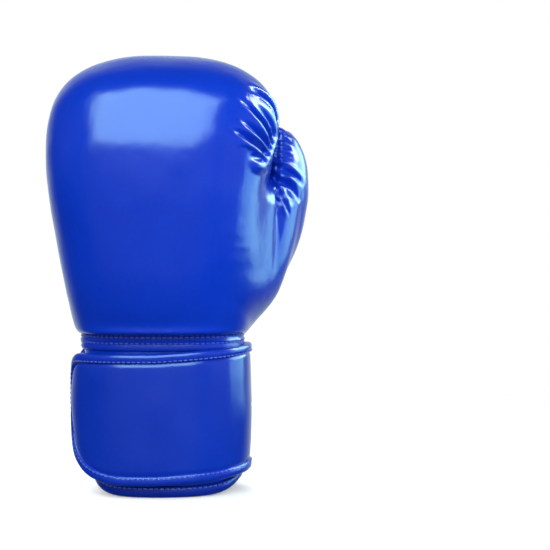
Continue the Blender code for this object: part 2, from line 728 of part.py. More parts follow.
def build_strap():
    """The sewn-down start, the length over the palm and the free length over the back."""
    edge = GAP / 2 / 0.9
    cover = (("strap", 0), ("strap", 1.3))
    padding = (("strap", 1.6), ("cuff", -2.7))
    backing = (("cuff", -2.4), ("cuff", -1.6))
    whole = (("strap", -0.6), ("cuff", -1.6))
    sewn = angle_at_x("strap", STRAP_SEWN_X)
    seam = angle_at_x("strap", STRAP_SEAM_X)
    start = FLAP_SPLIT[1] + 2
    foot, top = STRAP_FOOT + STRAP_BINDING + GAP, STRAP_TOP - STRAP_BINDING - GAP
    lengths = (
        ("strap_anchor", sewn + edge, start),
        ("strap_palm", seam + edge, sewn - edge),
        ("strap_wrap", edge, seam - edge),
    )
    for name, low, high in lengths:
        band(f"{name}_cover", "blue_leather", low, high, foot, top, *cover)
    for name, low, high in (lengths[0], ("strap_palm", edge, sewn - edge)):
        band(f"{name}_padding", "foam", low, high, foot, top, *padding)
        band(f"{name}_backing", "elastic", low, high, foot, top, *backing)
        band(f"{name}_foot_binding", "binding", low, high, STRAP_FOOT, foot - GAP, *whole)
        band(f"{name}_top_binding", "binding", low, high, top + GAP, STRAP_TOP, *whole)
    patch = (angle_at_x("strap", -39), angle_at_x("strap", -54.5))
    band("strap_anchor_patch", "blue_leather_dark", *patch, 25, 76, ("strap", -1.3), ("strap", -0.3))

    low, high = STRAP_TIP, 360 - edge
    scale = degree_length("strap", 195)
    rounds = STRAP_TIP_ROUND
    top_centre = (low + rounds["top"] / scale, STRAP_TOP - rounds["top"])
    foot_centre = (low + rounds["foot"] / scale, STRAP_FOOT + rounds["foot"])
    path = [
        *along_oval(high, top_centre[0], STRAP_TOP),
        *corner(top_centre, rounds["top"], 90, 180, scale),
        (low, (top_centre[1] + foot_centre[1]) / 2),
        (low, foot_centre[1]),
        *corner(foot_centre, rounds["foot"], 180, 270, scale, 6),
        *along_oval(foot_centre[0], high, STRAP_FOOT)[1:],
    ]
    path = without_near(path, "strap")
    body = (("strap", -0.6), ("cuff", -3.2))
    edging("strap_back_binding", "binding", "strap", path, STRAP_BINDING, *body)

    inset = STRAP_BINDING + 3 * GAP

    def outline(low, foot, top, foot_radius, top_radius):
        """Foot and top heights of a shape whose end at the tip is rounded."""

        def foot_at(angle):
            past = (angle - low) * scale
            if past >= foot_radius:
                return foot
            return foot + foot_radius - math.sqrt(foot_radius**2 - (foot_radius - past) ** 2)

        def top_at(angle):
            past = (angle - low) * scale
            if past >= top_radius:
                return top
            return top - top_radius + math.sqrt(top_radius**2 - (top_radius - past) ** 2)

        marks = [
            low + radius * (1 - math.cos(math.radians(15 * k))) / scale
            for k in range(1, 7)
            for radius in (foot_radius, top_radius)
        ]
        return foot_at, top_at, marks

    near = low + inset / scale
    foot_at, top_at, marks = outline(
        near, foot, top, rounds["foot"] - inset, rounds["top"] - inset
    )
    band("strap_back_cover", "blue_leather", near, high, foot_at, top_at, *cover, marks)
    padding = (("strap", 1.6), ("cuff", -3.2))
    band("strap_back_padding", "foam", near, high, foot_at, top_at, *padding, marks)
    hook = outline(low + 5 / scale, STRAP_FOOT + 4, STRAP_TOP - 4, rounds["foot"] - 4, 9)
    hook_layers = (("cuff", -2.9), ("cuff", -1.9))
    band("hook_tape", "hook", low + 5 / scale, 262, *hook[:2], *hook_layers, hook[2])
    band("loop_panel", "loop", 196, 306, 16, 88, ("cuff", -1.6), ("cuff", -0.3))


def main():
    clear_scene()
    mitt = build_mitt()
    build_grip_bar(mitt)
    build_palm_details(mitt)
    build_thumb(mitt)
    build_cuff()
    build_strap()


main()
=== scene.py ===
"""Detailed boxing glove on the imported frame: leather skin with folds and seams, cuff and strap.

Lengths are in millimetres on the fist's own axis until place() turns them into the frame's metres.
"""

import math

import bmesh
import bpy
import numpy as np
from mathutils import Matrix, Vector, noise
from mathutils.bvhtree import BVHTree


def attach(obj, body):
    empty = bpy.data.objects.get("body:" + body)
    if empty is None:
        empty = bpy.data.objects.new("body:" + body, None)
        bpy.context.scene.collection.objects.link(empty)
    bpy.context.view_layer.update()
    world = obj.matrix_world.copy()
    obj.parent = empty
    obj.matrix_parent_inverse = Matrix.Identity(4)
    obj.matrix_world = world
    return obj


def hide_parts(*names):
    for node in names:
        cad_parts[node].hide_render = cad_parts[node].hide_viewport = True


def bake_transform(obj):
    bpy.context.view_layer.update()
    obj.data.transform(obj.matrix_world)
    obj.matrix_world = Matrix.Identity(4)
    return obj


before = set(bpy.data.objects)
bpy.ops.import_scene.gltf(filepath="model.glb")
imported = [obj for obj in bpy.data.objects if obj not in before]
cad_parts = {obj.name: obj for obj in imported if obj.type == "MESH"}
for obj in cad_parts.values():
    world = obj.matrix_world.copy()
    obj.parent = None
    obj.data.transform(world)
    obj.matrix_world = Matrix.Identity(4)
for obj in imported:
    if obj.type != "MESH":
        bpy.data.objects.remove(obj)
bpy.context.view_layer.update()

MM = 0.001
SHIFT = np.array((-10.4, -4.0, 0.0))
PITCH = 1.15  # size of the skin's faces
SLIT_X, SLIT_TOP = -7.0, 138.0  # the wrist slit is a little to the pinky side
SLIT_HALF = {"palm": 1.75, "cuff": 4.5}

# ---- camera, light and floor ---------------------------------------------------------------------
scene = bpy.context.scene
scene.view_settings.view_transform = "Standard"
camera = bpy.data.objects.new("camera", bpy.data.cameras.new("camera"))
scene.collection.objects.link(camera)
camera.location = (0.0631, -0.754, 0.138)
camera.rotation_euler = (math.radians(90), 0, 0)
camera.data.lens = 75.5
camera.data.sensor_width = 36
scene.camera = camera


def softbox(name, place, target, size, power, colour=(1, 1, 1)):
    data = bpy.data.lights.new(name, "AREA")
    data.shape = "RECTANGLE"
    data.size, data.size_y = size
    data.energy = power
    data.color = colour
    obj = bpy.data.objects.new(name, data)
    scene.collection.objects.link(obj)
    obj.location = place
    obj.rotation_euler = (Vector(target) - Vector(place)).to_track_quat("-Z", "Y").to_euler()
    return obj


# these only show as reflections in the leather
for lamp in (
    softbox("key_light", (-0.12, -0.80, 0.93), (0, 0, 0.2), (1.45, 1.05), 50.0, (0.55, 1.0, 0.9)),
    softbox("side_light", (1.0, 0.48, 0.6), (0.03, 0, 0.17), (1.0, 0.55), 17.0, (0.52, 0.95, 0.92)),
    softbox("strip_light", (1.0, 0.25, 0.85), (0.05, 0, 0.2), (0.3, 0.5), 11.0, (0.75, 0.92, 1.0)),
    softbox("web_light", (1.0, 0.22, 0.2), (0.03, 0, 0.17), (0.8, 0.42), 5.0, (0.42, 0.95, 1.0)),
):
    lamp.visible_diffuse = False
# these only light the leather's own colour
for lamp in (
    softbox("front_fill", (-0.1, -1.5, 1.1), (0, 0, 0.13), (3.0, 2.0), 38.0),
    softbox("low_fill", (-0.2, -1.5, 0.1), (0, 0, 0.15), (3.0, 1.2), 15.0),
    softbox("palm_fill", (-0.6, 1.8, 1.2), (0, 0, 0.13), (1.6, 1.4), 50.0),
    softbox("side_fill", (-1.9, -0.2, 0.8), (0, 0, 0.13), (1.6, 1.2), 18.0),
    softbox("thumb_fill", (1.7, -0.7, 0.5), (0, 0, 0.15), (1.6, 1.2), 30.0),
):
    lamp.visible_glossy = False

world = bpy.data.worlds.new("studio")
scene.world = world
world.use_nodes = True
tree = world.node_tree
tree.nodes.clear()
out = tree.nodes.new("ShaderNodeOutputWorld")
path_node = tree.nodes.new("ShaderNodeLightPath")
coord = tree.nodes.new("ShaderNodeTexCoord")
split = tree.nodes.new("ShaderNodeSeparateXYZ")
ramp = tree.nodes.new("ShaderNodeMapRange")
ramp.interpolation_type = "SMOOTHSTEP"
for socket, value in (("From Min", 0.36), ("From Max", 0.98), ("To Min", 0.04), ("To Max", 0.85)):
    ramp.inputs[socket].default_value = value
sky, seen = (tree.nodes.new("ShaderNodeBackground") for _ in range(2))
for node, tint in ((sky, (0.78, 0.95, 1.0, 1)), (seen, (1, 1, 1, 1))):
    node.inputs["Color"].default_value = tint
second = tree.nodes.new("ShaderNodeMixShader")
link = tree.links.new
link(coord.outputs["Generated"], split.inputs[0])
link(split.outputs["Y"], ramp.inputs["Value"])
link(ramp.outputs[0], sky.inputs["Strength"])
link(path_node.outputs["Is Camera Ray"], second.inputs[0])
link(sky.outputs[0], second.inputs[1])
link(seen.outputs[0], second.inputs[2])
link(second.outputs[0], out.inputs[0])


# ---- materials -----------------------------------------------------------------------------------
class Paint:
    """A procedural material built up node by node."""

    def __init__(self, name, **constants):
        self.made = bpy.data.materials.new(name)
        self.made.use_nodes = True
        self.tree = self.made.node_tree
        self.shader = self.tree.nodes["Principled BSDF"]
        for key, value in constants.items():
            self.shader.inputs[key.replace("_", " ")].default_value = value
        self.place = self.node("ShaderNodeTexCoord").outputs["Object"]

    def node(self, kind, settings=(), **inputs):
        made = self.tree.nodes.new(kind)
        for key, value in dict(settings).items():
            setattr(made, key, value)
        for key, value in inputs.items():
            socket = made.inputs[key.replace("_", " ")]
            if isinstance(value, bpy.types.NodeSocket):
                self.tree.links.new(value, socket)
            else:
                socket.default_value = value
        return made

    def noise(self, scale, detail=3.0, rough=0.5):
        made = self.node("ShaderNodeTexNoise", Vector=self.place, Scale=scale, Detail=detail)
        made.inputs["Roughness"].default_value = rough
        return made.outputs[0]

    def cells(self, scale, feature="DISTANCE_TO_EDGE"):
        settings = {"feature": feature}
        made = self.node("ShaderNodeTexVoronoi", settings, Vector=self.place, Scale=scale)
        return made.outputs[0]

    def ramp(self, value, low, high, to_low, to_high):
        made = self.node("ShaderNodeMapRange", Value=value)
        limits = {"From Min": low, "From Max": high, "To Min": to_low, "To Max": to_high}
        for socket, number in limits.items():
            made.inputs[socket].default_value = number
        return made.outputs[0]

    def mix(self, factor, first, second):
        made = self.node("ShaderNodeMix", {"data_type": "RGBA"})
        for index, value in ((0, factor), (6, first), (7, second)):
            if isinstance(value, bpy.types.NodeSocket):
                self.tree.links.new(value, made.inputs[index])
            else:
                made.inputs[index].default_value = (*value, 1) if index else value
        return made.outputs[2]

    def bump(self, height, strength, distance, normal=None):
        made = self.node("ShaderNodeBump", Height=height, Strength=strength, Distance=distance)
        if normal:
            self.tree.links.new(normal, made.inputs["Normal"])
        return made.outputs[0]

    def use(self, **sockets):
        for key, value in sockets.items():
            self.tree.links.new(value, self.shader.inputs[key.replace("_", " ")])
        return self.made


def leather(name, deep, light, rough=0.19, grain=1.0, coat=0.15):
    """Coated synthetic leather: fine pebbled grain, soft mottling, polish that varies a little."""
    p = Paint(name, Specular_IOR_Level=0.3, Coat_Weight=coat, Coat_Roughness=0.12, IOR=1.5)
    colour = p.mix(p.ramp(p.noise(28, 4), 0.35, 0.65, 0, 1), deep, light)
    pores = p.ramp(p.noise(420, 2), 0.3, 0.75, 0, 0.18)
    colour = p.mix(pores, colour, tuple(0.55 * c for c in deep))
    roughness = p.ramp(p.noise(60, 5), 0.3, 0.7, rough - 0.02, rough + 0.03)
    pebbles = p.bump(p.ramp(p.cells(1050), 0, 0.35, 0, 1), 0.08 * grain, 0.00025)
    creases = p.bump(p.noise(330, 6, 0.6), 0.06 * grain, 0.0006, pebbles)
    return p.use(Base_Color=colour, Roughness=roughness, Normal=creases)


def fabric(name, dark, light, scale, rough=0.9, sheen=0.3, height=0.0006):
    """A knitted or woven cloth: crossing threads with a fine nap."""
    p = Paint(name, Sheen_Weight=sheen, Sheen_Roughness=0.5, Roughness=rough)
    slanted, upright = {"bands_direction": "DIAGONAL"}, {"bands_direction": "Z"}
    across = p.node("ShaderNodeTexWave", slanted, Vector=p.place, Scale=scale)
    along = p.node("ShaderNodeTexWave", upright, Vector=p.place, Scale=scale * 1.3)
    woven = p.node("ShaderNodeMath", {"operation": "MULTIPLY"})
    p.tree.links.new(across.outputs["Fac"], woven.inputs[0])
    p.tree.links.new(along.outputs["Fac"], woven.inputs[1])
    fuzz = p.noise(900, 4, 0.7)
    colour = p.mix(woven.outputs[0], dark, light)
    colour = p.mix(p.ramp(fuzz, 0.3, 0.8, 0, 0.35), colour, dark)
    normal = p.bump(fuzz, 0.4, 0.0004, p.bump(woven.outputs[0], 0.5, height))
    return p.use(Base_Color=colour, Normal=normal)


BLUE, BLUE_LIGHT = (0.002, 0.031, 0.455), (0.0024, 0.034, 0.475)
DARK_BLUE, DARK_BLUE_LIGHT = (0.003, 0.026, 0.38), (0.0035, 0.030, 0.40)
PAINTS = {
    "blue_leather": leather("blue_leather_grain", BLUE, BLUE_LIGHT),
    # the cuff's rim binding: a darker copy of the binding leather, painted shade for the shadow
    # under the strap where no light comes from below
    "rim": leather("rim_leather_painted_shade", (0.002, 0.017, 0.26), (0.0024, 0.020, 0.29), 0.22, 1.2),
    # the strap's covers: a darker copy of the blue leather, painted shade for the lower light on the
    # strap at the foot of the glove
    "strap": leather("strap_leather_grain", (0.0028, 0.027, 0.37), (0.0032, 0.030, 0.39)),
    "blue_leather_dark": leather("palm_leather_grain", DARK_BLUE, DARK_BLUE_LIGHT, 0.24, 1.3),
    "binding": leather("binding_leather_grain", DARK_BLUE, (0.0035, 0.030, 0.41), 0.22, 1.2),
    "foam": fabric("padding_foam", (0.62, 0.60, 0.50), (0.80, 0.79, 0.70), 700, 0.95, 0.1),
    "lining": fabric("lining_cloth", (0.012, 0.012, 0.016), (0.035, 0.035, 0.045), 520, 0.9, 0.4),
    "hook": fabric("hook_tape_weave", (0.008, 0.014, 0.07), (0.05, 0.07, 0.2), 900, 0.8, 0.1, 12e-4),
    "loop": fabric("loop_tape_nap", (0.005, 0.014, 0.11), (0.018, 0.045, 0.25), 640, 1, 0.2, 1e-3),
    "elastic": fabric("elastic_weave", (0.010, 0.010, 0.016), (0.05, 0.05, 0.065), 800, 0.85, 0.2),
    "piping": leather("piping_vinyl", (0.30, 0.38, 0.66), (0.38, 0.46, 0.72), 0.32, 0.4),
}
thread = Paint("sewing_thread", Roughness=0.55, Sheen_Weight=0.3)
twist = thread.ramp(thread.noise(1800, 2), 0.35, 0.65, 0, 1)
PAINTS["thread"] = thread.use(
    Base_Color=thread.mix(twist, (0.010, 0.035, 0.36), (0.03, 0.085, 0.62)),
    Normal=thread.bump(thread.noise(2600, 2), 0.5, 0.0002),
)
metal = Paint("eyelet_metal", Metallic=1.0, Base_Color=(0.45, 0.46, 0.50, 1))
PAINTS["eyelet"] = metal.use(
    Roughness=metal.ramp(metal.noise(500, 4), 0.3, 0.7, 0.18, 0.34),
    Normal=metal.bump(metal.noise(900, 3), 0.1, 0.0002),
)

# ---- mesh helpers --------------------------------------------------------------------------------


def place(points):
    """The frame's metres of points in millimetres on the fist's own axis."""
    return (np.asarray(points, float) + SHIFT) * MM


def slab_faces(rows, columns):
    """Faces of a closed slab whose two sides are grids, the second after the first."""
    index = np.arange(rows * columns).reshape(rows, columns)
    side = rows * columns
    quads = np.stack([index[:-1, :-1], index[:-1, 1:], index[1:, 1:], index[1:, :-1]], -1)
    quads = quads.reshape(-1, 4)
    loop = np.concatenate([index[0, :-1], index[:-1, -1], index[-1, :0:-1], index[:0:-1, 0]])
    after = np.roll(loop, -1)
    edge = np.stack([after, loop, loop + side, after + side], -1)
    return np.vstack([quads, quads[:, ::-1] + side, edge])


def tube_faces(rows, columns, closed=False):
    """Quads of a tube of rings; closed joins the last ring to the first."""
    index = np.arange(rows * columns).reshape(rows, columns)
    after = np.roll(index, -1, 1)
    if closed:
        following, following_after = np.roll(index, -1, 0), np.roll(after, -1, 0)
        return np.stack([index, after, following_after, following], -1).reshape(-1, 4)
    return np.stack([index[:-1], after[:-1], after[1:], index[1:]], -1).reshape(-1, 4)


def piece(name, points, faces, slot, body, replaces=(), fill=None, paint=None, sharp=50, bend=None):
    """A finished piece on its body. faces are lists of corners; normals are turned outward."""
    mesh = bpy.data.meshes.new(name)
    faces = faces.tolist() if isinstance(faces, np.ndarray) else [list(map(int, f)) for f in faces]
    mesh.from_pydata(place(points).tolist(), [], faces)
    work = bmesh.new()
    work.from_mesh(mesh)
    bmesh.ops.remove_doubles(work, verts=work.verts, dist=0.000002)
    bmesh.ops.recalc_face_normals(work, faces=work.faces)
    work.to_mesh(mesh)
    work.free()
    mesh.shade_smooth()
    if sharp:
        mesh.set_sharp_from_angle(angle=math.radians(sharp))
    return finish_piece(name, mesh, slot, body, replaces, paint, bend)


def finish_piece(name, mesh, slot, body, replaces=(), paint=None, bend=None):
    obj = bpy.data.objects.new(name, mesh)
    scene.collection.objects.link(obj)
    mesh.materials.append(PAINTS[paint or slot])
    if bend:
        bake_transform(obj)
    else:
        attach(obj, body)
    if replaces:
        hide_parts(*replaces)
    return obj


def slab(name, outer, inner, *rest, **more):
    """A piece between two grids of points."""
    rows, columns = outer.shape[:2]
    points = np.concatenate([outer.reshape(-1, 3), inner.reshape(-1, 3)])
    return piece(name, points, slab_faces(rows, columns), *rest, **more)


def capped(rings):
    """Points and faces of rings with both ends capped."""
    rings = np.asarray(rings, float)
    rows, columns = rings.shape[:2]
    faces = tube_faces(rows, columns).tolist()
    faces.append(list(range(columns))[::-1])
    faces.append(list(range((rows - 1) * columns, rows * columns)))
    return rings.reshape(-1, 3), faces


def spline(values, at):
    """Catmull-Rom through a list, at fractional indexes."""
    values, at = np.asarray(values, float), np.asarray(at, float)
    last = len(values) - 1
    i = np.clip(at.astype(int), 0, last - 1)
    t = (at - i)[..., None]
    before, start = values[np.maximum(i - 1, 0)], values[i]
    end, after = values[i + 1], values[np.minimum(i + 2, last)]
    return 0.5 * (
        2 * start
        + (end - before) * t
        + (2 * before - 5 * start + 4 * end - after) * t**2
        + (3 * start - before - 3 * end + after) * t**3
    )


def step(value, low, high):
    """Smooth 0 to 1 as value goes from low to high."""
    t = np.clip((np.asarray(value, float) - low) / (high - low), 0, 1)
    return t * t * (3 - 2 * t)


def hill(value, middle, width):
    """A smooth bump of height 1."""
    return np.exp(-(((np.asarray(value, float) - middle) / width) ** 2))


def lengths(path):
    """Millimetres along a path at each of its points."""
    return np.concatenate([[0], np.cumsum(np.linalg.norm(np.diff(path, axis=0), axis=1))])


def at_lengths(at, marks, path):
    """Places on a path at so many millimetres along it."""
    return np.stack([np.interp(at, marks, column) for column in path.T], -1)


def wobble(points, size, seed=0.0):
    """Smooth noise about -1 to 1 at points, with features about size mm."""
    offset = Vector((seed, seed * 1.7, -seed))
    points = np.asarray(points).reshape(-1, 3)
    return np.array([noise.noise(Vector(p) / size + offset) for p in points])


# ---- mitt and thumb surfaces ---------------------------------------------------------------------
SECTION_POWER, PIVOT = 2.5, 0.38
# outer y, z; inner y, z; half-width to the thumb, to the pinky; back, palm and side padding
MITT = np.array(
    [
        (-37, 100, 35, 99.5, 54.0, 51.0, 10, 8, 0.18),
        (-49, 107, 37, 107.5, 58.0, 56.2, 20, 8, 0.24),
        (-58, 132, 34, 132, 61.5, 61.3, 30, 8, 0.29),
        (-63, 163, 29, 159, 65.0, 66.2, 34, 9, 0.33),
        (-66, 195, 23, 186, 68.0, 70.2, 36, 10, 0.36),
        (-64, 226, 19, 203, 72.0, 71.8, 36, 12, 0.37),
        (-51, 256, 19, 210, 74.3, 71.2, 36, 13, 0.37),
        (-23, 275, 21, 213, 74.3, 69.4, 36, 13, 0.37),
        (8, 280, 23, 214, 68.0, 64.5, 36, 13, 0.37),
        (42, 270, 26, 213, 60.0, 65.0, 30, 12, 0.37),
        (65, 248, 30, 208, 52.0, 66.0, 26, 11, 0.37),
        (74, 219, 34, 200, 48.0, 63.0, 20, 9, 0.37),
        (69, 197, 38, 192, 43.0, 56.0, 13, 8, 0.37),
        (59, 185, 43, 187, 37.0, 48.0, 6, 5, 0.30),
        (54, 182, 46, 185.5, 33.0, 43.0, 3, 3, 0.20),
    ]
)
CREASE, EDGE = 5, 13.5
# middle x, y, z; half-width in x, in y
THUMB = np.array(
    [
        (46, 14, 97, 6, 14),
        (48, 18, 110, 11.5, 20),
        (52.5, 23, 128, 20, 24),
        (57, 27, 144, 25.5, 26),
        (61.5, 30, 161, 28.5, 28),
        (66.5, 32, 177, 27.5, 29),
        (70.5, 33, 195, 25.5, 29),
        (71.5, 33, 215, 22.7, 25),
        (73, 34, 231, 14, 16),
        (73, 34, 238.5, 3, 4),
    ]
)
POCKET = np.array(
    [
        (24, -2, 108, 13, 12),
        (37, 5, 124, 14, 13),
        (50, 15, 142, 13.5, 13.5),
        (60, 24, 163, 12.5, 13),
        (67, 30, 186, 11.5, 12.5),
        (70, 32, 207, 10.5, 11.5),
        (71, 32.5, 217, 6, 6.5),
    ]
)


def mitt(at, degrees, share=0.0, extra=0.0, heel=0.0):
    """Points of the mitt at stations and degrees (0 thumb, 90 back, 180 pinky, 270 palm)."""
    at, degrees = np.broadcast_arrays(np.asarray(at, float), np.asarray(degrees, float))
    v = spline(MITT, at)
    oy, oz, iy, iz, thumb, pinky, back, palm, side = np.moveaxis(v, -1, 0)
    oy = oy - heel * hill(at, 0.5, 0.34)
    dy, dz = oy - iy, oz - iz
    span = np.hypot(dy, dz)
    dy, dz = dy / span, dz / span
    c, s = np.cos(np.radians(degrees)), np.sin(np.radians(degrees))
    half = np.where(c > 0, thumb, pinky)
    width = np.maximum(half - share * side * half - extra, 0.4)
    height = np.where(
        s > 0, (1 - PIVOT) * span - share * back - extra, PIVOT * span - share * palm - extra
    )
    height = np.maximum(height, 0.4)
    reach = (abs(c) ** SECTION_POWER + abs(s) ** SECTION_POWER) ** (-1 / SECTION_POWER)
    out = PIVOT * span + height * reach * s
    return np.stack([width * reach * c, iy + dy * out, iz + dz * out], -1)


def thumb(at, degrees, depth=0.0, stations=THUMB):
    """Points of the thumb (0 outward, 90 palm, 180 towards the fist, 270 back)."""
    at, degrees = np.broadcast_arrays(np.asarray(at, float), np.asarray(degrees, float))
    v = spline(stations, at)
    c, s = np.cos(np.radians(degrees)), np.sin(np.radians(degrees))
    hx, hy = np.maximum(v[..., 3] - depth, 0.4), np.maximum(v[..., 4] - depth, 0.4)
    return np.stack([v[..., 0] + hx * c, v[..., 1] + hy * s, v[..., 2]], -1)


class Surface:
    """A closed tube of rings with its own search tree, for distances and for where a point lies."""

    def __init__(self, rings, stations, degrees):
        points, faces = capped(rings)
        middle = points.mean(0)
        quads = np.array(faces[:-2])
        size = np.cross(points[quads[:, 1]] - middle, points[quads[:, 2]] - middle)
        if ((points[quads[:, 0]] - middle) * size).sum() < 0:
            faces = [f[::-1] for f in faces]
        self.points, self.faces = points, faces
        self.stations, self.degrees = stations, degrees
        self.tree = BVHTree.FromPolygons(points.tolist(), faces)

    def measure(self, points):
        """Signed distance, gradient, station and degree of the nearest place for each point."""
        columns = len(self.degrees)
        count = len(self.stations) - 1
        made = np.zeros((len(points), 6))
        for i, p in enumerate(points.tolist()):
            near, normal, face, gap = self.tree.find_nearest(p)
            d = Vector(p) - near
            sign = 1.0 if d.dot(normal) >= 0 else -1.0
            grad = (d / gap * sign) if gap > 0.05 else normal
            row = min(face // columns, count - 1)
            made[i] = (gap * sign, *grad, row, face % columns)
        rows, cols = made[:, 4].astype(int), made[:, 5].astype(int)
        stations = (self.stations[rows] + self.stations[rows + 1]) / 2
        degrees = self.degrees[cols] + (self.degrees[1] - self.degrees[0]) / 2
        return made[:, 0], made[:, 1:4], stations, degrees


HEEL = 6.5  # how far the heel of the back bulges over the neck
stations, degrees = np.concatenate([np.arange(0, 14, 0.1), [14.0]]), np.arange(0, 360, 3.0)
fist = Surface(mitt(stations[:, None], degrees, heel=HEEL), stations, degrees)
stations, degrees = np.concatenate([np.arange(0.5, 9, 0.1), [9.0]]), np.arange(0, 360, 5.0)
digit = Surface(thumb(stations[:, None], degrees), stations, degrees)


# ---- skin ----------------------------------------------------------------------------------------
def voxel_union(parts, pitch):
    """One closed skin of quads round all the parts."""
    points = np.concatenate([p.points for p in parts])
    faces, start = [], 0
    for p in parts:
        faces += [[start + i for i in f] for f in p.faces]
        start += len(p.points)
    mesh = bpy.data.meshes.new("union")
    mesh.from_pydata((points * MM).tolist(), [], faces)
    obj = bpy.data.objects.new("union", mesh)
    scene.collection.objects.link(obj)
    modifier = obj.modifiers.new("voxels", "REMESH")
    modifier.mode = "VOXEL"
    modifier.voxel_size = pitch * MM
    bpy.context.view_layer.update()
    done = bpy.data.meshes.new_from_object(obj.evaluated_get(bpy.context.evaluated_depsgraph_get()))
    made = np.zeros(len(done.vertices) * 3)
    done.vertices.foreach_get("co", made)
    quads = np.zeros(len(done.loops), int)
    done.loops.foreach_get("vertex_index", quads)
    bpy.data.objects.remove(obj)
    bpy.data.meshes.remove(done)
    bpy.data.meshes.remove(mesh)
    return made.reshape(-1, 3) / MM, quads.reshape(-1, 4)


def neighbours(quads):
    """Both ends of every edge, once for each face beside it."""
    return np.concatenate([quads[:, [i, (i + 1) % 4]] for i in range(4)])


def relax(points, pairs, weight, times, factor=0.5):
    """Moves each point towards the mean of its neighbours."""
    count = np.bincount(pairs[:, 0], minlength=len(points))[:, None]
    for _ in range(times):
        mean = np.stack(
            [np.bincount(pairs[:, 0], points[pairs[:, 1], k], len(points)) for k in range(3)], -1
        )
        points = points + factor * weight[:, None] * (mean / np.maximum(count, 1) - points)
    return points


def normals_of(points, quads):
    """Outward normals at the points of a skin of quads."""
    a, b, c, d = (points[quads[:, i]] for i in range(4))
    flat = np.cross(c - a, d - b)
    made = np.zeros_like(points)
    for i in range(4):
        for k in range(3):
            made[:, k] += np.bincount(quads[:, i], flat[:, k], len(points))
    return made / np.maximum(np.linalg.norm(made, axis=1, keepdims=True), 1e-9)


def along_line(points, line, reach):
    """Distance to a line and millimetres along it, for points within reach, and its length."""
    line = np.asarray(line, float)
    marks = lengths(line)
    fine = np.arange(0, marks[-1], 0.6)
    fine_points = at_lengths(fine, marks, line)
    low, high = fine_points.min(0) - reach, fine_points.max(0) + reach
    chosen = np.flatnonzero(((points > low) & (points < high)).all(1))
    distance, where = np.full(len(points), 1e3), np.zeros(len(points))
    for chunk in np.array_split(chosen, max(1, len(chosen) // 4000)):
        if not len(chunk):
            continue
        gap = np.linalg.norm(points[chunk][:, None] - fine_points[None], axis=2)
        best = gap.argmin(1)
        distance[chunk], where[chunk] = gap[np.arange(len(chunk)), best], fine[best]
    return distance, where, marks[-1]


skin, quads = voxel_union((fist, digit), PITCH)
pairs = neighbours(quads)
skin = relax(skin, pairs, np.ones(len(skin)), 2)

# the web below the crotch: a broad fillet on the back of the hand, a tight one on the palm side
for _ in range(4):
    a, grad_a, _, _ = fist.measure(skin)
    b, grad_b, _, _ = digit.measure(skin)
    low = 1 - step(skin[:, 2], 183, 207)
    front = 1 - step(skin[:, 1], 8, 40)
    k = 42 * low * front * step(skin[:, 2], 98, 128) + 1.5
    h = np.clip(k - abs(a - b), 0, None) / k
    value = np.minimum(a, b) - h * h * k / 4
    share = np.where(a < b, 1 - h / 2, h / 2)[:, None]
    grad = share * grad_a + (1 - share) * grad_b
    size = np.maximum((grad**2).sum(1), 0.25)
    moved = np.clip(value / size, -3.5, 3.5)
    skin = skin - moved[:, None] * grad
    near_join = (h > 0.02).astype(float)
    skin = relax(skin, pairs, near_join, 2)
skin = relax(skin, pairs, np.ones(len(skin)), 1)
# the web's middle is smoothed further, so that no ridge is left where two distances meet
wx, wy, wz = skin.T
web = step(wz, 103, 120) * (1 - step(wz, 186, 198)) * (1 - step(wy, 16, 28))
web *= step(wx, 54, 64) * (1 - step(wx, 84, 92))
skin = relax(skin, pairs, web, 45)

normals = normals_of(skin, quads)
bare_tree = BVHTree.FromPolygons(skin.tolist(), quads.tolist())


def cast(tree, x, z, side):
    """Where sight along y meets a skin: point and normal. side -1 is the back, 1 the palm."""
    return tree.ray_cast(Vector((x, 200 * side, z)), Vector((0, -side, 0)))[:2]


def drawn(path):
    """A path of (x, z) laid on the back of the skin, with points about 1 mm apart."""
    smooth = np.linspace(0, len(path) - 1, max(int(lengths(path)[-1]), 4))
    laid = [cast(bare_tree, x, z, -1)[0] for x, z in spline(path, smooth)]
    return np.array([p for p in laid if p is not None])


def bowed(start, degrees, length, bow):
    """A line in (x, z) from a start, at an angle, bowed to its left by a share of its length."""
    along = np.array((math.cos(math.radians(degrees)), math.sin(math.radians(degrees))))
    left = np.array((-along[1], along[0]))
    share = np.linspace(0, 1, 5)[:, None]
    return np.array(start) + length * (share * along + 4 * bow * share * (1 - share) * left)


push = np.zeros(len(skin))  # along the normal, outward

# gathered folds fan out over the fist from the crotch, where its leather is sewn in:
# how far down the crotch as a share of it, angle, length, bow, depth
CROTCH_TOP, CROTCH_DROP, CROTCH_LEAN = (73, 237), 27, 7
GATHERS = [
    (0.0, 135, 25, -0.18, 1.0),
    (0.4, 125, 22, -0.12, 0.35),
    (0.55, 130, 32, -0.1, 1.0),
    (0.7, 140, 26, -0.05, 0.6),
    (0.85, 150, 26, -0.05, 1.0),
    (1.0, 180, 9, 0, 0.35),
]
nearest, share_along = np.full(len(skin), 1e3), np.zeros(len(skin))
valley = np.zeros(len(skin))
for down, degrees, length, bow, deep in GATHERS:
    root = CROTCH_TOP[0] - CROTCH_LEAN * down**2, CROTCH_TOP[1] - CROTCH_DROP * down
    d, s, total = along_line(skin, drawn(bowed(root, degrees, length, bow)[::-1]), 16)
    ease = step(s / total, 0.0, 0.55) * (d < 16)
    valley = np.maximum(valley, deep * ease * np.exp(-((d / 1.55) ** 2)))
    closer = d < nearest
    nearest[closer], share_along[closer] = d[closer], (s / total)[closer]
swell = step(share_along, 0.05, 0.8) * (1 - step(nearest, 5, 11))
push += swell * 2.6 * (1 - np.exp(-((nearest / 3.0) ** 2))) - 4.2 * valley

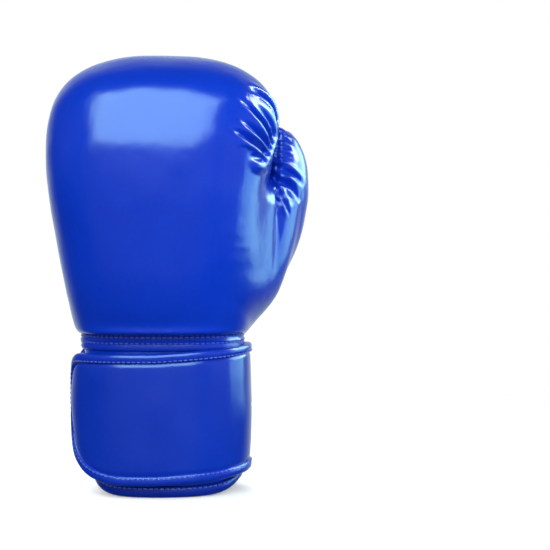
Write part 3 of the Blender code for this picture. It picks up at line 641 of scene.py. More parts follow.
# creases that leave the crotch for the thumb and the web: start, angle, length, bow, depth, width
WEB_CREASES = [
    ((76, 208), -30, 18, 0.08, 2.2, 1.3),
    ((74, 200), -40, 20, 0.15, 2.0, 1.4),
    ((72, 198), -62, 24, 0.05, 1.8, 1.0),
]
for start, degrees, length, bow, depth, width in WEB_CREASES:
    d, s, total = along_line(skin, drawn(bowed(start, degrees, length, bow)), 12)
    fade = np.sin(np.pi * np.clip(s / total * 0.75 + 0.25, 0, 1)) ** 0.7 * (d < 12)
    beside = 0.6 * hill(d, 2.7 * width, 1.6 * width)
    push += fade * depth * (beside - np.exp(-((d / width) ** 2)))

# seams: line, depth of the groove, height of the puckers beside it
SEAM_REACH, SEAM_WIDTH = 10, 0.85
SEAMS = (
    (mitt(np.arange(0.3, EDGE, 0.1), 180.0, heel=HEEL), 0.9, 0.55),
    (mitt(np.arange(0.3, EDGE, 0.1), 210.0, heel=HEEL), 0.9, 0.25),
    (mitt(np.arange(5.0, EDGE, 0.1), 330.0), 0.9, 0.25),
    (mitt(np.arange(6.0, EDGE, 0.1), 0.0), 0.9, 1.0),
    (mitt(5.0, np.arange(210.0, 330.5, 2)), 1.0, 0.3),
    (mitt(EDGE, np.arange(0.0, 361, 3)), 0.8, 0.9),
    (thumb(np.arange(1.5, 8.5, 0.1), 120.0), 0.9, 0.35),
    (thumb(np.arange(5.4, 8.6, 0.1), 278.0), 1.2, 2.1),
    (thumb(8.5, np.arange(0.0, 361, 5)), 0.5, 0.2),
)
for line, groove, pucker in SEAMS:
    d, s, _ = along_line(skin, line, SEAM_REACH)
    near = d < SEAM_REACH
    push += near * (0.4 * hill(d, 3.2, 2.0) - groove * np.exp(-((d / SEAM_WIDTH) ** 2)))
    period, reach = (5.6, 10.0) if pucker > 1 else (3.7, 4.2)
    wave = np.abs(np.cos(np.pi * (s / period + 0.25 * np.sin(s / 5.1))))
    push += near * pucker * (wave - 0.64) * np.exp(-((d / reach) ** 2)) * step(d, 0.2, 1.2)

# broad soft dents and swells that the padding gives the leather
push += 0.55 * wobble(skin, 38.0) + 0.22 * wobble(skin, 15.0, 5.0)
push += 0.05 * wobble(skin, 4.5, 9.0)

# the thin leather of the palm creases round the slit
slack = step(skin[:, 1], 22, 34) * (1 - step(skin[:, 2], 150, 185))
slack *= 1 - step(abs(skin[:, 0] - SLIT_X), 26, 46)
ridges = 1 - abs(wobble(skin * (0.55, 1.0, 1.5), 11.0, 21.0)) * 3.2
push += slack * 0.75 * np.clip(ridges, -1, 1)

skin = skin + push[:, None] * normals

# the gap between the fist's edge and the thumb
GAP, GAP_SIZE, GAP_DEPTH = (68.5, 0.0, 206.0), (5.5, 16.0, 15.0), 9.0
away = (skin - np.array(GAP)) / np.array(GAP_SIZE)
skin[:, 1] += GAP_DEPTH * np.exp(-(away**2).sum(1) * 1.2)
skin = relax(skin, pairs, 0.35 * np.ones(len(skin)), 1)

# ---- ovals of the cuff and the strap -------------------------------------------------------------
CUFF_TOP, CUFF_POWER = 94.5, 2.25
# half-widths at the foot and at the top: to the thumb, to the pinky, front to back
OVALS = {
    "cuff": ((50.5, 51.5), (41.5, 50.0), (35.5, 37.0)),
    "strap": ((57.2, 57.2), (57.3, 57.3), (44.0, 44.0)),
}
STRAP_FOOT, STRAP_TOP, BINDING = 11.0, 92.0, 6.0
RIM, HEM_LIFT = 7.0, 7.5
# the wrapped strap climbs a little from the pinky side to the thumb side
CLIMB = ((0, 35, 75, 180, 181, 270, 330, 360), (2.6, 1.4, 0, 0, -3.3, -2.6, 1.2, 2.6))


def oval(name, degrees, z, depth=0.0):
    """Points of an upright oval, moved in by depth (0 thumb, 90 palm, 180 pinky, 270 back)."""
    degrees, z, depth = np.broadcast_arrays(*(np.asarray(v, float) for v in (degrees, z, depth)))
    rise = np.clip(z / CUFF_TOP, 0, 1)
    (tf, tt), (pf, pt), (df, dt) = OVALS[name]
    c, s = np.cos(np.radians(degrees)), np.sin(np.radians(degrees))
    a = np.where(c > 0, tf + (tt - tf) * rise, pf + (pt - pf) * rise)
    b = df + (dt - df) * rise
    reach = (abs(c) ** CUFF_POWER + abs(s) ** CUFF_POWER) ** (-1 / CUFF_POWER)
    x, y = a * reach * c, b * reach * s
    nx = np.sign(c) * abs(x / a) ** (CUFF_POWER - 1) / a
    ny = np.sign(s) * abs(y / b) ** (CUFF_POWER - 1) / b
    size = np.hypot(nx, ny)
    if name == "strap":
        z = z + np.interp(degrees % 360, *CLIMB)
    else:  # the hem lifts at the two sides
        sides = hill(degrees % 360, 185, 28) + hill((degrees + 180) % 360, 175, 28)
        z = z + HEM_LIFT * sides * (1 - step(z, 0, 26))
    return np.stack([x - depth * nx / size, y - depth * ny / size, z + 0 * x], -1)


# ---- skin pieces ---------------------------------------------------------------------------------
centres = skin[quads].mean(1)
face_a, _, face_station, face_degree = fist.measure(centres)
face_b, _, _, face_thumb_degree = digit.measure(centres)
face_degree, face_thumb_degree = face_degree % 360, face_thumb_degree % 360
normals = normals_of(skin, quads)


def polar(points):
    """Angle and distance from the fist's axis."""
    x, y = points[:, 0], points[:, 1]
    return np.degrees(np.arctan2(y, x)), np.hypot(x, y)


# the skin's underside is open within the cuff, and the palm is open along the slit
angle, radius = polar(centres)
mouth_angle, mouth_radius = polar(oval("cuff", np.arange(-180.0, 180.5, 2), CUFF_TOP, 5.0))
bottom = radius < np.interp(angle, mouth_angle, mouth_radius, period=360)
bottom &= (centres[:, 2] < 108) & (normals[quads].mean(1)[:, 2] < -0.3)
slit = (abs(centres[:, 0] - SLIT_X) < SLIT_HALF["palm"]) & (centres[:, 2] < SLIT_TOP)
slit &= centres[:, 1] > 0
on_thumb = face_b < face_a
palm = (face_degree > 210) & (face_degree < 330) & ~on_thumb
groups = {
    "palm_leather": palm & (face_station < CREASE),
    "grip_leather": palm & (face_station > CREASE) & (face_station < EDGE),
    "pinky_side_leather": (face_degree > 180)
    & (face_degree <= 210)
    & (face_station < EDGE)
    & ~on_thumb,
    "thumb_side_leather": (face_degree >= 330) & (face_station < EDGE) & ~on_thumb,
    "finger_edge_leather": (face_station > EDGE) & ~on_thumb,
    "thumb_inner_leather": on_thumb
    & (face_thumb_degree > 120)
    & (face_thumb_degree < 280)
    & ~((centres[:, 1] < 14) & (centres[:, 2] < 203)),
}
taken = np.zeros(len(quads), bool)
for chosen in groups.values():
    chosen &= ~taken
    taken |= chosen
groups["back_leather"] = ~taken
SKIN_REPLACES = {
    "back_leather": ("blue_leather", ["back_panel", "thumb_outer_panel", "thumb_tip_panel"], 0.85),
    "palm_leather": ("blue_leather_dark", ["palm_panel"], 0.5),
    "grip_leather": ("blue_leather_dark", ["grip_panel"], 0.6),
    "pinky_side_leather": ("blue_leather", ["pinky_side_panel"], 0.8),
    "thumb_side_leather": ("blue_leather", ["thumb_side_panel"], 0.8),
    "finger_edge_leather": ("blue_leather", ["finger_edge_strip"], 0.7),
    "thumb_inner_leather": ("blue_leather_dark", ["thumb_inner_panel"], 0.8),
}
for name, (slot, nodes, fill) in SKIN_REPLACES.items():
    chosen = groups[name] & ~bottom & ~slit
    used, index = np.unique(quads[chosen], return_inverse=True)
    mesh = bpy.data.meshes.new(name)
    mesh.from_pydata(place(skin[used]).tolist(), [], index.reshape(-1, 4).tolist())
    mesh.shade_smooth()
    mesh.normals_split_custom_set_from_vertices(normals[used].tolist())
    finish_piece(name, mesh, slot, "glove", nodes)
skin_tree = BVHTree.FromPolygons(skin.tolist(), quads.tolist())


# ---- cuff and strap ------------------------------------------------------------------------------
def angle_at_x(name, x):
    """Degrees at which an oval's palm side reaches x."""
    low, high = 0.0, 180.0
    for _ in range(40):
        half = (low + high) / 2
        low, high = (half, high) if oval(name, half, 50)[0] > x else (low, half)
    return (low + high) / 2


def scale_at(name, degrees):
    """Millimetres in a degree of an oval."""
    degrees = np.asarray(degrees, float)
    return np.linalg.norm(oval(name, degrees + 1, 50) - oval(name, degrees - 1, 50), axis=-1) / 2


def dense(path, name, most=1.5):
    """A path of (degrees, z) with points at most so many millimetres apart."""
    made = [path[0]]
    for start, end in zip(path, path[1:]):
        span = np.array(end) - start
        length = math.hypot(span[0] * float(scale_at(name, start[0])), span[1])
        steps = max(1, math.ceil(length / most))
        made += [tuple(np.array(start) + span * i / steps) for i in range(1, steps + 1)]
    return np.array(made)


def sweep(path, name, profile, swell=0.0, seed=0.0):
    """Rings of a profile of (across to the left, depth) along a path on an oval."""
    path = dense(path, name)
    scale = scale_at(name, path[:, 0])
    along = np.gradient(path, axis=0) * np.stack([scale, np.ones_like(scale)], -1)
    along /= np.linalg.norm(along, axis=1, keepdims=True)
    left = np.stack([-along[:, 1], along[:, 0]], -1)
    rings = []
    for i, (angle, z) in enumerate(path):
        bulge = swell * noise.noise(Vector((i * 0.11, seed, 0)))
        across = np.array([p[0] for p in profile])
        depth = np.array([p[1] - bulge for p in profile])
        at = angle + left[i, 0] * across / scale[i]
        rings.append(oval(name, at, z + left[i, 1] * across, depth))
    return np.array(rings)


def sewn_row(name, path, across, depth):
    """Points and outward normals of a row of stitches along a path on an oval."""
    row = sweep(path, name, [(across, depth)])[:, 0]
    return row, sweep(path, name, [(across, depth - 1)])[:, 0] - row


def level(start, end, z):
    """A path of (degrees, z) at one height."""
    return [(start, z), (end, z)]


def turn(centre, radius, start, end, scale, steps=8):
    """A round corner as a path of (degrees, z), from one angle of its circle to another."""
    angles = [math.radians(start + (end - start) * i / steps) for i in range(steps + 1)]
    x, z = centre
    return [(x + radius * math.cos(t) / scale, z + radius * math.sin(t)) for t in angles]


def roll_profile(width, outer, inner, fold=1.0):
    """Cross-section of a folded-over binding: puffed outside, rounded at its free edge."""
    mid = (outer + inner) / 2
    return [
        (width, outer + 0.9),
        (width - 0.5, outer + 0.1),
        (width * 0.72, outer - 0.45 * fold),
        (width * 0.45, outer - 0.6 * fold),
        (width * 0.2, outer - 0.35 * fold),
        (0.25, outer + 0.5),
        (0.0, outer + 1.4),
        (-0.12, mid),
        (0.0, inner - 1.2),
        (0.3, inner - 0.4),
        (width * 0.3, inner),
        (width * 0.75, inner),
        (width, inner - 0.3),
    ]


class Thread:
    """Stitches gathered into one mesh."""

    def __init__(self):
        self.points, self.faces, self.count = [], [], 0

    def add(self, path, outward, pitch=3.4, length=2.4, radius=0.36, lift=0.12):
        """Stitches along a path; outward are normals at its points."""
        path, outward = np.asarray(path, float), np.asarray(outward, float)
        marks = lengths(path)
        sides = 6
        for start in np.arange(0.4, marks[-1] - length, pitch):
            at = start + np.array((0.0, 0.12, 0.5, 0.88, 1.0)) * length
            middle, up = at_lengths(at, marks, path), at_lengths(at, marks, outward)
            up /= np.linalg.norm(up, axis=1, keepdims=True)
            tangent = middle[-1] - middle[0]
            tangent /= max(np.linalg.norm(tangent), 1e-9)
            side = np.cross(tangent, up)
            size = np.array((0.35, 0.85, 1.0, 0.85, 0.35))[:, None, None] * radius
            rise = np.array((-0.45, -0.05, 0.25, -0.05, -0.45))[:, None, None] * radius + lift
            turns = (np.arange(sides) * math.tau / sides)[None, :, None]
            rings = middle[:, None] + up[:, None] * (rise + size * np.sin(turns))
            rings = rings + side[:, None] * size * np.cos(turns) * 1.15
            points, faces = capped(rings)
            self.points.append(points)
            self.faces += [[self.count + i for i in f] for f in faces]
            self.count += len(points)

    def finish(self, name, body, bend=None):
        points = np.concatenate(self.points)
        piece(name, points, self.faces, "binding", body, paint="thread", sharp=0, bend=bend)


def on_oval(name, path, depth):
    """Points and outward normals of a path on an oval."""
    degrees, z = dense(path, name, 1.0).T
    return oval(name, degrees, z, depth), oval(name, degrees, z, -1.0) - oval(name, degrees, z)


def band(
    name, slot, body, low, high, foot, top, outer, inner, crown=0, sink=0, ripple=0, seed=0, **more
):
    """A slab between two surfaces, each (oval, depth), crowned outside and sunk at its edges."""
    width = (high - low) * 0.9
    angles = np.linspace(low, high, max(int(width / 1.3), 6))
    foots = foot(angles) if callable(foot) else np.full_like(angles, foot)
    tops = top(angles) if callable(top) else np.full_like(angles, top)
    rows = max(int((tops.max() - foots.min()) / 1.4), 3)
    share = (1 - np.cos(np.linspace(0, np.pi, rows + 1))) / 2
    share = 0.35 * share + 0.65 * np.linspace(0, 1, rows + 1)
    z = foots[None] + (tops - foots)[None] * share[:, None]
    grid = np.broadcast_to(angles, z.shape)
    rim = np.minimum(z - foots[None], tops[None] - z)
    half = np.maximum((tops - foots)[None] / 2, 1)
    bulge = crown * (1 - (1 - np.clip(rim / half, 0, 1)) ** 2.6)
    bulge = bulge - sink * np.exp(-((rim / 1.6) ** 2))
    outer_points = oval(outer[0], grid, z, outer[1])
    if ripple:
        bulge = bulge + ripple * wobble(outer_points, 22.0, seed).reshape(z.shape) * step(rim, 0, 9)
    outer_points = oval(outer[0], grid, z, outer[1] - bulge)
    inner_points = oval(inner[0], grid, z, inner[1])
    return slab(name, outer_points, inner_points, slot, body, **more)


SPLIT_GAP = 0.19  # degrees left open each side of a split
THUMB_SPLIT, PINKY_SPLIT = 6.0, 174.0
slit_low = angle_at_x("cuff", SLIT_X + SLIT_HALF["cuff"])
slit_high = angle_at_x("cuff", SLIT_X - SLIT_HALF["cuff"])
rim_foot = RIM + 0.3
# CAD layer: kind of piece, slot, outer and inner surface, fill
LAYERS = {
    "leather": ("shell", "blue_leather", ("cuff", 0), ("cuff", 1.5), None),
    "foam": ("padding", "foam", ("cuff", 1.8), ("cuff", 7.7), 0.7),
    "lining": ("lining_cloth", "lining", ("cuff", 8.0), ("cuff", 9.0), None),
}
FLAP_CORNER = 14.0
rim_profile = roll_profile(RIM, -1.2, 10.0, 1.2)


def flap_foot(slit_edge, scale):
    """A flap's lower edge, rounded at the slit, as a function of degrees."""

    def foot(angles):
        past = abs(angles - slit_edge) * scale
        radius = FLAP_CORNER - rim_foot
        inside = np.clip(radius**2 - (FLAP_CORNER - past) ** 2, 0, None)
        return np.where(past >= FLAP_CORNER, rim_foot, FLAP_CORNER - np.sqrt(inside))

    return foot


back_low, back_high = PINKY_SPLIT + SPLIT_GAP, 360 + THUMB_SPLIT - SPLIT_GAP
cuff_parts = [("cuff_back", "glove", back_low, back_high, rim_foot)]
for side, body, split_at, slit_edge, sign in (
    ("thumb", "thumb_flap", THUMB_SPLIT + SPLIT_GAP, slit_low, -1),
    ("pinky", "pinky_flap", PINKY_SPLIT - SPLIT_GAP, slit_high, 1),
):
    scale = float(scale_at("cuff", slit_edge))
    near = slit_edge + sign * rim_foot / scale
    low, high = sorted((split_at, near))
    cuff_parts.append((f"{side}_flap", body, low, high, flap_foot(slit_edge, scale)))
    centre = (slit_edge + sign * FLAP_CORNER / scale, FLAP_CORNER)
    corner = turn(centre, FLAP_CORNER, -90, 0 if sign < 0 else -180, scale)
    path = [(split_at, 0.0), *corner, (slit_edge, 50), (slit_edge, CUFF_TOP)]
    path = path if sign < 0 else path[::-1]
    points, faces = capped(sweep(path, "cuff", rim_profile, 0.2, 3.0 + sign))
    nodes = [f"{side}_flap_rim"]
    # the rim paint is painted shade: a darker copy of the binding leather
    piece(f"{side}_flap_edge_binding", points, faces, "binding", body, nodes, paint="rim")
    sewn = Thread()
    sewn.add(*sewn_row("cuff", path, RIM - 1.3, -1.55))
    sewn.finish(f"{side}_flap_stitching", body)
for name, body, low, high, foot in cuff_parts:
    for layer, (kind, slot, outer, inner, fill) in LAYERS.items():
        surfaces = (foot, CUFF_TOP, outer, inner)
        nodes = [f"{name}_{layer}"]
        band(f"{name}_{kind}", slot, body, low, high, *surfaces, replaces=nodes, fill=fill)
path = level(back_low, back_high, 0.0)
points, faces = capped(sweep(path, "cuff", rim_profile, 0.25, 7.0))
# the rim paint is painted shade: a darker copy of the binding leather
piece("cuff_back_edge_binding", points, faces, "binding", "glove", ["cuff_back_rim"], paint="rim")
sewn = Thread()
sewn.add(*sewn_row("cuff", path, RIM - 1.3, -1.6))
# the neck band, with two sewn rows
NECK_FOOT = 90.6
# across the band and its depth: hidden edge, foot roll, first row, middle, second row, top
NECK_PROFILE = [(4.4, 6), (4.2, -0.25), (0, -0.25), (0, -0.9), (0.7, -1.7), (2.4, -2.2)]
NECK_PROFILE += [(4.0, -1.5), (4.6, -1.5), (6.3, -2.4), (8.0, -1.6), (8.6, -1.6)]
NECK_PROFILE += [(10.0, -2.0), (11.2, -0.6), (11.4, 6)]
neck_path = level(slit_high + 0.5, 360 + slit_low - 0.5, NECK_FOOT)
rings = sweep(neck_path, "cuff", NECK_PROFILE, 0.3, 11.0)
lowest = NECK_FOOT + 4.4 * step(rings[..., 1], -2, 8)  # it stays above the two flaps, which swing
rings[..., 2] = np.maximum(rings[..., 2], lowest)
points, faces = capped(rings)
piece("neck_band", points, faces, "binding", "glove", ["neck_welt"])
for across in (5.0, 8.7):
    sewn.add(*sewn_row("cuff", neck_path, across, -1.6))
sewn.finish("cuff_stitching", "glove")

# ---- strap ---------------------------------------------------------------------------------------
TIP, ANCHOR_END = 188.0, 170.0
TIP_TOP, TIP_FOOT = 20.0, 50.0
sewn_at, seam_at = angle_at_x("strap", -30.0), angle_at_x("strap", 16.5)
TURN = 30.0  # degrees each side of the thumb edge that bend when the strap opens
tip_scale = float(scale_at("strap", 195))
cover_foot, cover_top = STRAP_FOOT + BINDING - 0.6, STRAP_TOP - BINDING + 0.6
strap_profile = roll_profile(BINDING, -0.6, 5.0)
TURN_BODIES = ("strap_palm", "strap_back")
TURN_BEND = (tuple(place((57.2, 15.0, 50))), tuple(place((57.2, -15.0, 50))))


def tip_outline(end, foot, top, foot_radius, top_radius):
    """Lower and upper edge of a rounded end, as functions of degrees."""

    def foot_at(angles):
        past = np.clip(abs(angles - end) * tip_scale, 0, foot_radius)
        return foot + foot_radius - np.sqrt(foot_radius**2 - (foot_radius - past) ** 2)

    def top_at(angles):
        past = np.clip(abs(angles - end) * tip_scale, 0, top_radius)
        return top - top_radius + np.sqrt(top_radius**2 - (top_radius - past) ** 2)

    return foot_at, top_at


inset = BINDING - 0.6
tip_low = TIP + inset / tip_scale
tip_foot, tip_top = tip_outline(tip_low, cover_foot, cover_top, TIP_FOOT - inset, TIP_TOP - inset)
ANCHOR_FOOT, ANCHOR_TOP = 48.0, 20.0
anchor_high = ANCHOR_END - inset / tip_scale
anchor = tip_outline(anchor_high, cover_foot, cover_top, ANCHOR_FOOT - inset, ANCHOR_TOP - inset)
# spans of the strap: body, from and to in degrees, foot and top
SPANS = {
    "back": ("strap_back", tip_low, 360 - TURN, tip_foot, tip_top),
    "turn": (TURN_BODIES, -TURN, TURN, cover_foot, cover_top),
    "wrap": ("strap_palm", TURN, seam_at, cover_foot, cover_top),
    "start": ("strap_palm", seam_at, sewn_at - SPLIT_GAP, cover_foot, cover_top),
    "palm": ("strap_palm", TURN, sewn_at - SPLIT_GAP, cover_foot, cover_top),
    "anchor": ("pinky_flap", sewn_at + SPLIT_GAP, anchor_high, *anchor),
}


def strap_layer(name, slot, span, outer, inner, node=None, **more):
    """A layer of one span of the strap between two surfaces; node is the CAD node it replaces."""
    if span == "turn":
        more["bend"] = TURN_BEND
    nodes = [node] if node else ()
    band(f"strap_{name}", slot, *SPANS[span], outer, inner, replaces=nodes, **more)


# the covers use the darker strap paint, which is painted shade
COVER = {"crown": 1.1, "sink": 0.9, "ripple": 0.45, "paint": "strap"}
for name, span, seed, node, fill in (
    ("back", "back", 1.0, "strap_back_cover", 0.7),
    ("turn", "turn", 1.0, None, None),
    ("wrap", "wrap", 2.0, "strap_wrap_cover", 0.7),
    ("palm", "start", 3.0, "strap_palm_cover", 0.7),
    ("anchor", "anchor", 4.0, "strap_anchor_cover", 0.7),
):
    layer = (f"{name}_leather", "blue_leather", span, ("strap", 0.0), ("strap", 1.4), node)
    strap_layer(*layer, fill=fill, seed=seed, **COVER)

PAD, BACKING = (("strap", 1.6), ("cuff", -2.7)), (("cuff", -2.4), ("cuff", -1.6))
back_pad = (("strap", 1.6), ("cuff", -3.6))
strap_layer("back_pad", "foam", "back", *back_pad, "strap_back_padding", fill=0.6)
strap_layer("back_elastic", "elastic", "back", ("cuff", -3.55), ("cuff", -3.0))
strap_layer("turn_pad", "foam", "turn", *PAD, fill=0.6)
strap_layer("palm_pad", "foam", "palm", *PAD, "strap_palm_padding", fill=0.6)
strap_layer("anchor_pad", "foam", "anchor", *PAD, "strap_anchor_padding", fill=0.6)
strap_layer("palm_elastic", "elastic", "palm", *BACKING, "strap_palm_backing")
strap_layer("turn_elastic", "elastic", "turn", *BACKING)
strap_layer("anchor_elastic", "elastic", "anchor", *BACKING, "strap_anchor_backing")
loop = (196, 306, 16, 88, ("cuff", -1.6), ("cuff", -0.3))
band("loop_tape", "loop", "glove", *loop, replaces=["loop_panel"])
hook_low = TIP + 5 / tip_scale
hook = tip_outline(hook_low, STRAP_FOOT + 4, STRAP_TOP - 8, TIP_FOOT - 4, TIP_TOP - 4)
hook = (hook_low, 262, *hook, ("cuff", -2.9), ("cuff", -1.9))
band("hook_strip", "hook", "strap_back", *hook, replaces=["hook_tape"])

top_centre = (TIP + TIP_TOP / tip_scale, STRAP_TOP - TIP_TOP)
foot_centre = (TIP + TIP_FOOT / tip_scale, STRAP_FOOT + TIP_FOOT)
tip_path = [
    (360 - TURN, STRAP_TOP),
    *turn(top_centre, TIP_TOP, 90, 180, tip_scale, 10),
    *turn(foot_centre, TIP_FOOT, 180, 270, tip_scale, 16),
    (360 - TURN, STRAP_FOOT),
]
STRAP_ROW = BINDING - 1.1  # stitches inside the binding's sewn edge


def binding(name, path, body, replaces=(), bend=None, seed=0.0):
    """A binding along a path on the strap, with a sewn row."""
    points, faces = capped(sweep(path, "strap", strap_profile, 0.25, seed))
    piece(name, points, faces, "binding", body, replaces, bend=bend)
    sewn = Thread()
    sewn.add(*sewn_row("strap", path, STRAP_ROW, -1.0), 3.2, 2.3, 0.33)
    sewn.finish(name.replace("binding", "stitching"), body, bend)


binding("strap_back_edge_binding", tip_path, "strap_back", ["strap_back_binding"], seed=1.0)
for span, bend in (("turn", TURN_BEND), ("palm", None)):
    body, low, high = SPANS[span][:3]
    for side, path, seed in (
        ("foot", level(low, high, STRAP_FOOT), low),
        ("top", level(high, low, STRAP_TOP), high),
    ):
        nodes = () if bend else [f"strap_{span}_{side}_binding"]
        binding(f"strap_{span}_{side}_edge_binding", path, body, nodes, bend, seed)
start, anchor_middle = sewn_at + SPLIT_GAP, (ANCHOR_END, 65)
centre = (ANCHOR_END - ANCHOR_FOOT / tip_scale, STRAP_FOOT + ANCHOR_FOOT)
foot_path = [(start, STRAP_FOOT), *turn(centre, ANCHOR_FOOT, -90, 0, tip_scale, 12), anchor_middle]
centre = (ANCHOR_END - ANCHOR_TOP / tip_scale, STRAP_TOP - ANCHOR_TOP)
top_path = [anchor_middle, *turn(centre, ANCHOR_TOP, 0, 90, tip_scale, 9), (start, STRAP_TOP)]
for side, path, seed in (("foot", foot_path, 5.0), ("top", top_path, 6.0)):
    nodes = [f"strap_anchor_{side}_binding"]
    binding(f"strap_anchor_{side}_edge_binding", path, "pinky_flap", nodes, seed=seed)

# lapped seam, sewn start and patch on the palm side
lap = Thread()
for x in (12.0, 21.0):
    line = [(angle_at_x("strap", x), cover_foot + 1), (angle_at_x("strap", x), cover_top - 1)]
    lap.add(*on_oval("strap", line, -1.1))
lap.finish("strap_seam_stitching", "strap_palm")
patch_low, patch_high = angle_at_x("strap", -38), angle_at_x("strap", -51.5)
PATCH_FOOT, PATCH_TOP, PATCH_INSET = 31, 77, 2.2
area = (patch_low, patch_high, PATCH_FOOT, PATCH_TOP, ("strap", -1.9), ("strap", -0.3))
nodes = ["strap_anchor_patch"]
band("strap_patch", "blue_leather_dark", "pinky_flap", *area, crown=0.3, sink=0.5, replaces=nodes)
patch = Thread()
sewn_in = PATCH_INSET / float(scale_at("strap", 150))
low, high = patch_low + sewn_in, patch_high - sewn_in
foot, top = PATCH_FOOT + PATCH_INSET, PATCH_TOP - PATCH_INSET
ring = [(low, foot), (high, foot), (high, top), (low, top), (low, foot)]
patch.add(*on_oval("strap", ring, -2.25))
start_line = [(sewn_at + 3.0, cover_foot + 1), (sewn_at + 3.0, cover_top - 1)]
patch.add(*on_oval("strap", start_line, -1.1))
patch.finish("strap_patch_stitching", "pinky_flap")


# ---- palm details --------------------------------------------------------------------------------
def palm_at(x, z):
    """Where the palm's leather lies at x and z, and its outward normal."""
    point, normal = cast(skin_tree, x, z, 1)
    return point, -normal if normal and normal.y < 0 else normal


def even(path, most=1.2):
    """A path of (x, z) with its points at even lengths, about so many millimetres apart."""
    path = np.asarray(path, float)
    marks = lengths(path)
    return at_lengths(np.linspace(0, marks[-1], max(int(marks[-1] / most), 4)), marks, path)


def ribbon(name, slot, path, width, node, height=1.3):
    """A raised strip laid on the palm's leather along a path of (x, z)."""
    path = even(path)
    along = np.gradient(path, axis=0)
    along /= np.linalg.norm(along, axis=1, keepdims=True)
    side = np.stack([-along[:, 1], along[:, 0]], -1)
    across = np.array((-1, -0.92, -0.7, -0.35, 0, 0.35, 0.7, 0.92, 1)) * width / 2
    lift = height * np.array((0.2, 0.75, 0.97, 1.0, 1.0, 1.0, 0.97, 0.75, 0.2))
    rings = []
    for p, s in zip(path, side):
        top, under = [], []
        for a, rise in zip(across, lift):
            point, normal = palm_at(*(p + s * a))
            if point is None:
                continue
            top.append(point + normal * rise)
            under.append(point - normal * 1.2)
        if len(top) == len(across):
            rings.append(top + under[::-1])
    points, faces = capped(rings)
    piece(name, points, faces, slot, "glove", [node])


def laid_row(path, lift):
    """Points and normals of a path of (x, z) on the palm's leather."""
    laid = [palm_at(x, z) for x, z in even(path)]
    laid = [(point + normal * lift, normal) for point, normal in laid if point is not None]
    points, up = zip(*laid)
    return np.array(points), np.array(up)


def arch(centre, radius, foot, steps=24):
    """A path of (x, z) up one side, over the top and down the other."""
    turns = [math.pi * (1 - i / steps) for i in range(steps + 1)]
    top = [(centre[0] + radius * math.cos(t), centre[1] + radius * math.sin(t)) for t in turns]
    return [(centre[0] - radius, foot), *top, (centre[0] + radius, foot)]


ARCH, ARCH_RADIUS, ARCH_FOOT = (-8.4, 142.0), 19.4, 98.8
SLIT_END = (SLIT_X, SLIT_TOP - 3)
PALM_SEAM = np.array([(-53, 157), (-43, 146.5), (-33, 136)])
pinky_tab, thumb_tab = [(-24.0, 115), (-13.0, 115)], [(-1.0, 117), (7.5, 117)]
wrist_arch, slit_arch = arch(ARCH, ARCH_RADIUS, ARCH_FOOT), arch(SLIT_END, 4.3, ARCH_FOOT)
for name, slot, path, width, node, height in (
    ("wrist_tab_pinky_leather", "blue_leather_dark", pinky_tab, 23.5, "wrist_tab_pinky", 1.0),
    ("wrist_tab_thumb_leather", "blue_leather_dark", thumb_tab, 23.5, "wrist_tab_thumb", 1.0),
    ("wrist_arch_band", "blue_leather_dark", wrist_arch, 6.5, "wrist_arch", 1.5),
    ("slit_edge_binding", "binding", slit_arch, 4.6, "slit_binding", 1.9),
    ("palm_seam_band", "binding", PALM_SEAM, 5.0, "palm_seam_strip", 1.1),
):
    ribbon(name, slot, path, width, node, height)
palm_thread = Thread()
for radius in (ARCH_RADIUS - 2.3, ARCH_RADIUS + 2.3):
    palm_thread.add(*laid_row(arch(ARCH, radius, 99.5), 1.5))
palm_thread.add(*laid_row(arch(SLIT_END, 5.7, 99.5), 1.8), 2.8, 2.0, 0.3)
for z in (127, 103):
    palm_thread.add(*laid_row([(-24, z), (-14, z)], 1.1))
for z in (129, 106):
    palm_thread.add(*laid_row([(-1, z), (7, z)], 1.1))
for offset in (-1.5, 1.5):
    palm_thread.add(*laid_row(PALM_SEAM[[0, 2]] + offset, 1.15))
palm_thread.finish("palm_stitching", "glove")

RING, TUBE = 36, 10
for i, x in enumerate((-44, -31, -18)):
    point, normal = palm_at(x, 190.0)
    side = normal.cross(Vector((0, 0, 1))).normalized()
    up = side.cross(normal)
    rings = []
    for t in (math.tau * j / RING for j in range(RING)):
        out = side * math.cos(t) + up * math.sin(t)
        for q in (math.tau * k / TUBE for k in range(TUBE)):
            thick = normal * (0.55 + 0.55 * math.sin(q))
            rings.append(point + out * (2.25 + 0.85 * math.cos(q)) + thick)
    faces = tube_faces(RING, TUBE, True)
    nodes = [f"eyelet_{i + 1}"]
    piece(f"eyelet_ring_{i + 1}", np.array(rings), faces, "eyelet", "glove", nodes, sharp=0)

# the piping along the thumb's edge
PIPING = [(38, 172), (31, 161), (30, 144), (32, 128), (37, 112), (46, 100)]
middle, up = laid_row(spline(PIPING, np.linspace(0, 5, 80)), 0.5)
turns = (np.arange(10) * math.tau / 10)[:, None]
rings = []
for i, (m, n) in enumerate(zip(middle, up)):
    tangent = middle[min(i + 1, len(middle) - 1)] - middle[max(i - 1, 0)]
    side = np.cross(tangent, n)
    side /= np.linalg.norm(side)
    rings.append(m + 1.15 * (side[None] * np.cos(turns) + n[None] * np.sin(turns)))
points, faces = capped(rings)
piece("thumb_edge_piping", points, faces, "piping", "glove", ["thumb_piping"], sharp=0)


# ---- linings and paddings inside -----------------------------------------------------------------
def sock(outer, inner):
    """Points and faces of a shell that is open at its first ring."""
    rows, columns = outer.shape[:2]
    start = rows * columns
    points = np.concatenate([outer.reshape(-1, 3), inner.reshape(-1, 3)])
    tube = tube_faces(rows, columns)
    index = np.arange(columns)
    after = np.roll(index, -1)
    mouth = np.stack([after, index, index + start, after + start], -1)
    faces = np.vstack([tube, tube[:, ::-1] + start, mouth]).tolist()
    faces.append(list(range(start - columns, start)))
    faces.append(list(range(len(points) - columns, len(points))))
    return points, faces


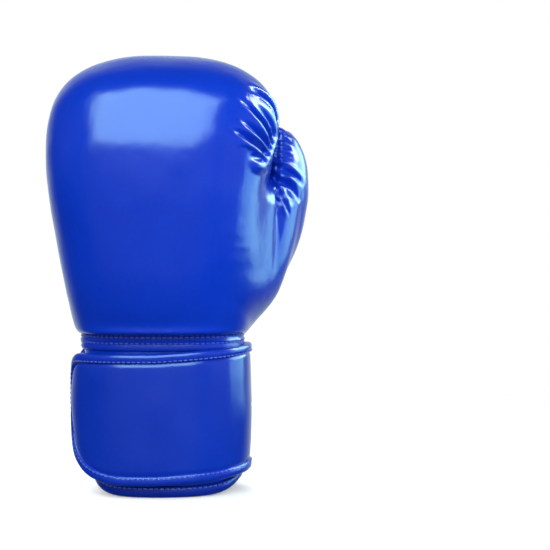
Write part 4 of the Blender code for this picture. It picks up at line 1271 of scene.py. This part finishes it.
around = np.arange(0, 360, 4.0)[None]
stations = np.linspace(0, 12, 90)[:, None]
points, faces = sock(mitt(stations, around, 1, 0.0), mitt(stations * 0.99, around, 1, 1.0))
piece("hand_lining_cloth", points, faces, "lining", "glove", ["hand_lining"], sharp=0)
stations = np.linspace(1.2, 5.95, 60)[:, None]
outer, inner = thumb(stations, around, -1.0, POCKET), thumb(stations * 0.985, around, 0.0, POCKET)
points, faces = sock(outer, inner)
piece("thumb_lining_cloth", points, faces, "lining", "glove", ["thumb_lining"], sharp=0)


def mitt_slab(name, start, end, low, high, outer, inner, node, fill):
    """Padding between two depths of the mitt, from station to station and degrees to degrees."""
    at = np.linspace(start, end, int((end - start) * 10))[:, None]
    turns = np.linspace(low + 0.3, high - 0.3, int((high - low) / 3))[None]
    surfaces = mitt(at, turns, *outer), mitt(at, turns, *inner)
    slab(name, *surfaces, "foam", "glove", replaces=[node], fill=fill)


outer, middle, inner = (0.0, 5.5), (0.45, 0.0), (1, -0.3)
mitt_slab("outer_back_padding", 0.4, 12.4, 2, 178, outer, middle, "outer_back_foam", 0.8)
mitt_slab("inner_back_padding", 0.2, 12, 2, 178, (0.45, 0.3), inner, "inner_back_foam", 0.7)
mitt_slab("finger_padding", 4.6, 12, 182, 358, (0.0, 5.0), (1, -0.3), "finger_foam", 0.7)
bpy.context.view_layer.update()
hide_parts("palm_foam")
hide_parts("thumb_foam", "grip_bar")

# ---- floor ---------------------------------------------------------------------------------------
mesh = bpy.data.meshes.new("floor")
corners = [(-1.5, -2), (1.5, -2), (1.5, 0.5), (-1.5, 0.5)]
mesh.from_pydata([(x, y, -0.0002) for x, y in corners], [], [(0, 1, 2, 3)])
floor = bpy.data.objects.new("floor", mesh)
scene.collection.objects.link(floor)
ground = Paint("pale_floor", Roughness=0.9, Emission_Color=(1, 1, 1, 1), Emission_Strength=0.22)
pale = ground.mix(ground.noise(3, 2), (0.93, 0.93, 0.93), (0.95, 0.95, 0.95))
mesh.materials.append(ground.use(Base_Color=pale))
floor.visible_glossy = False
floor.visible_diffuse = False
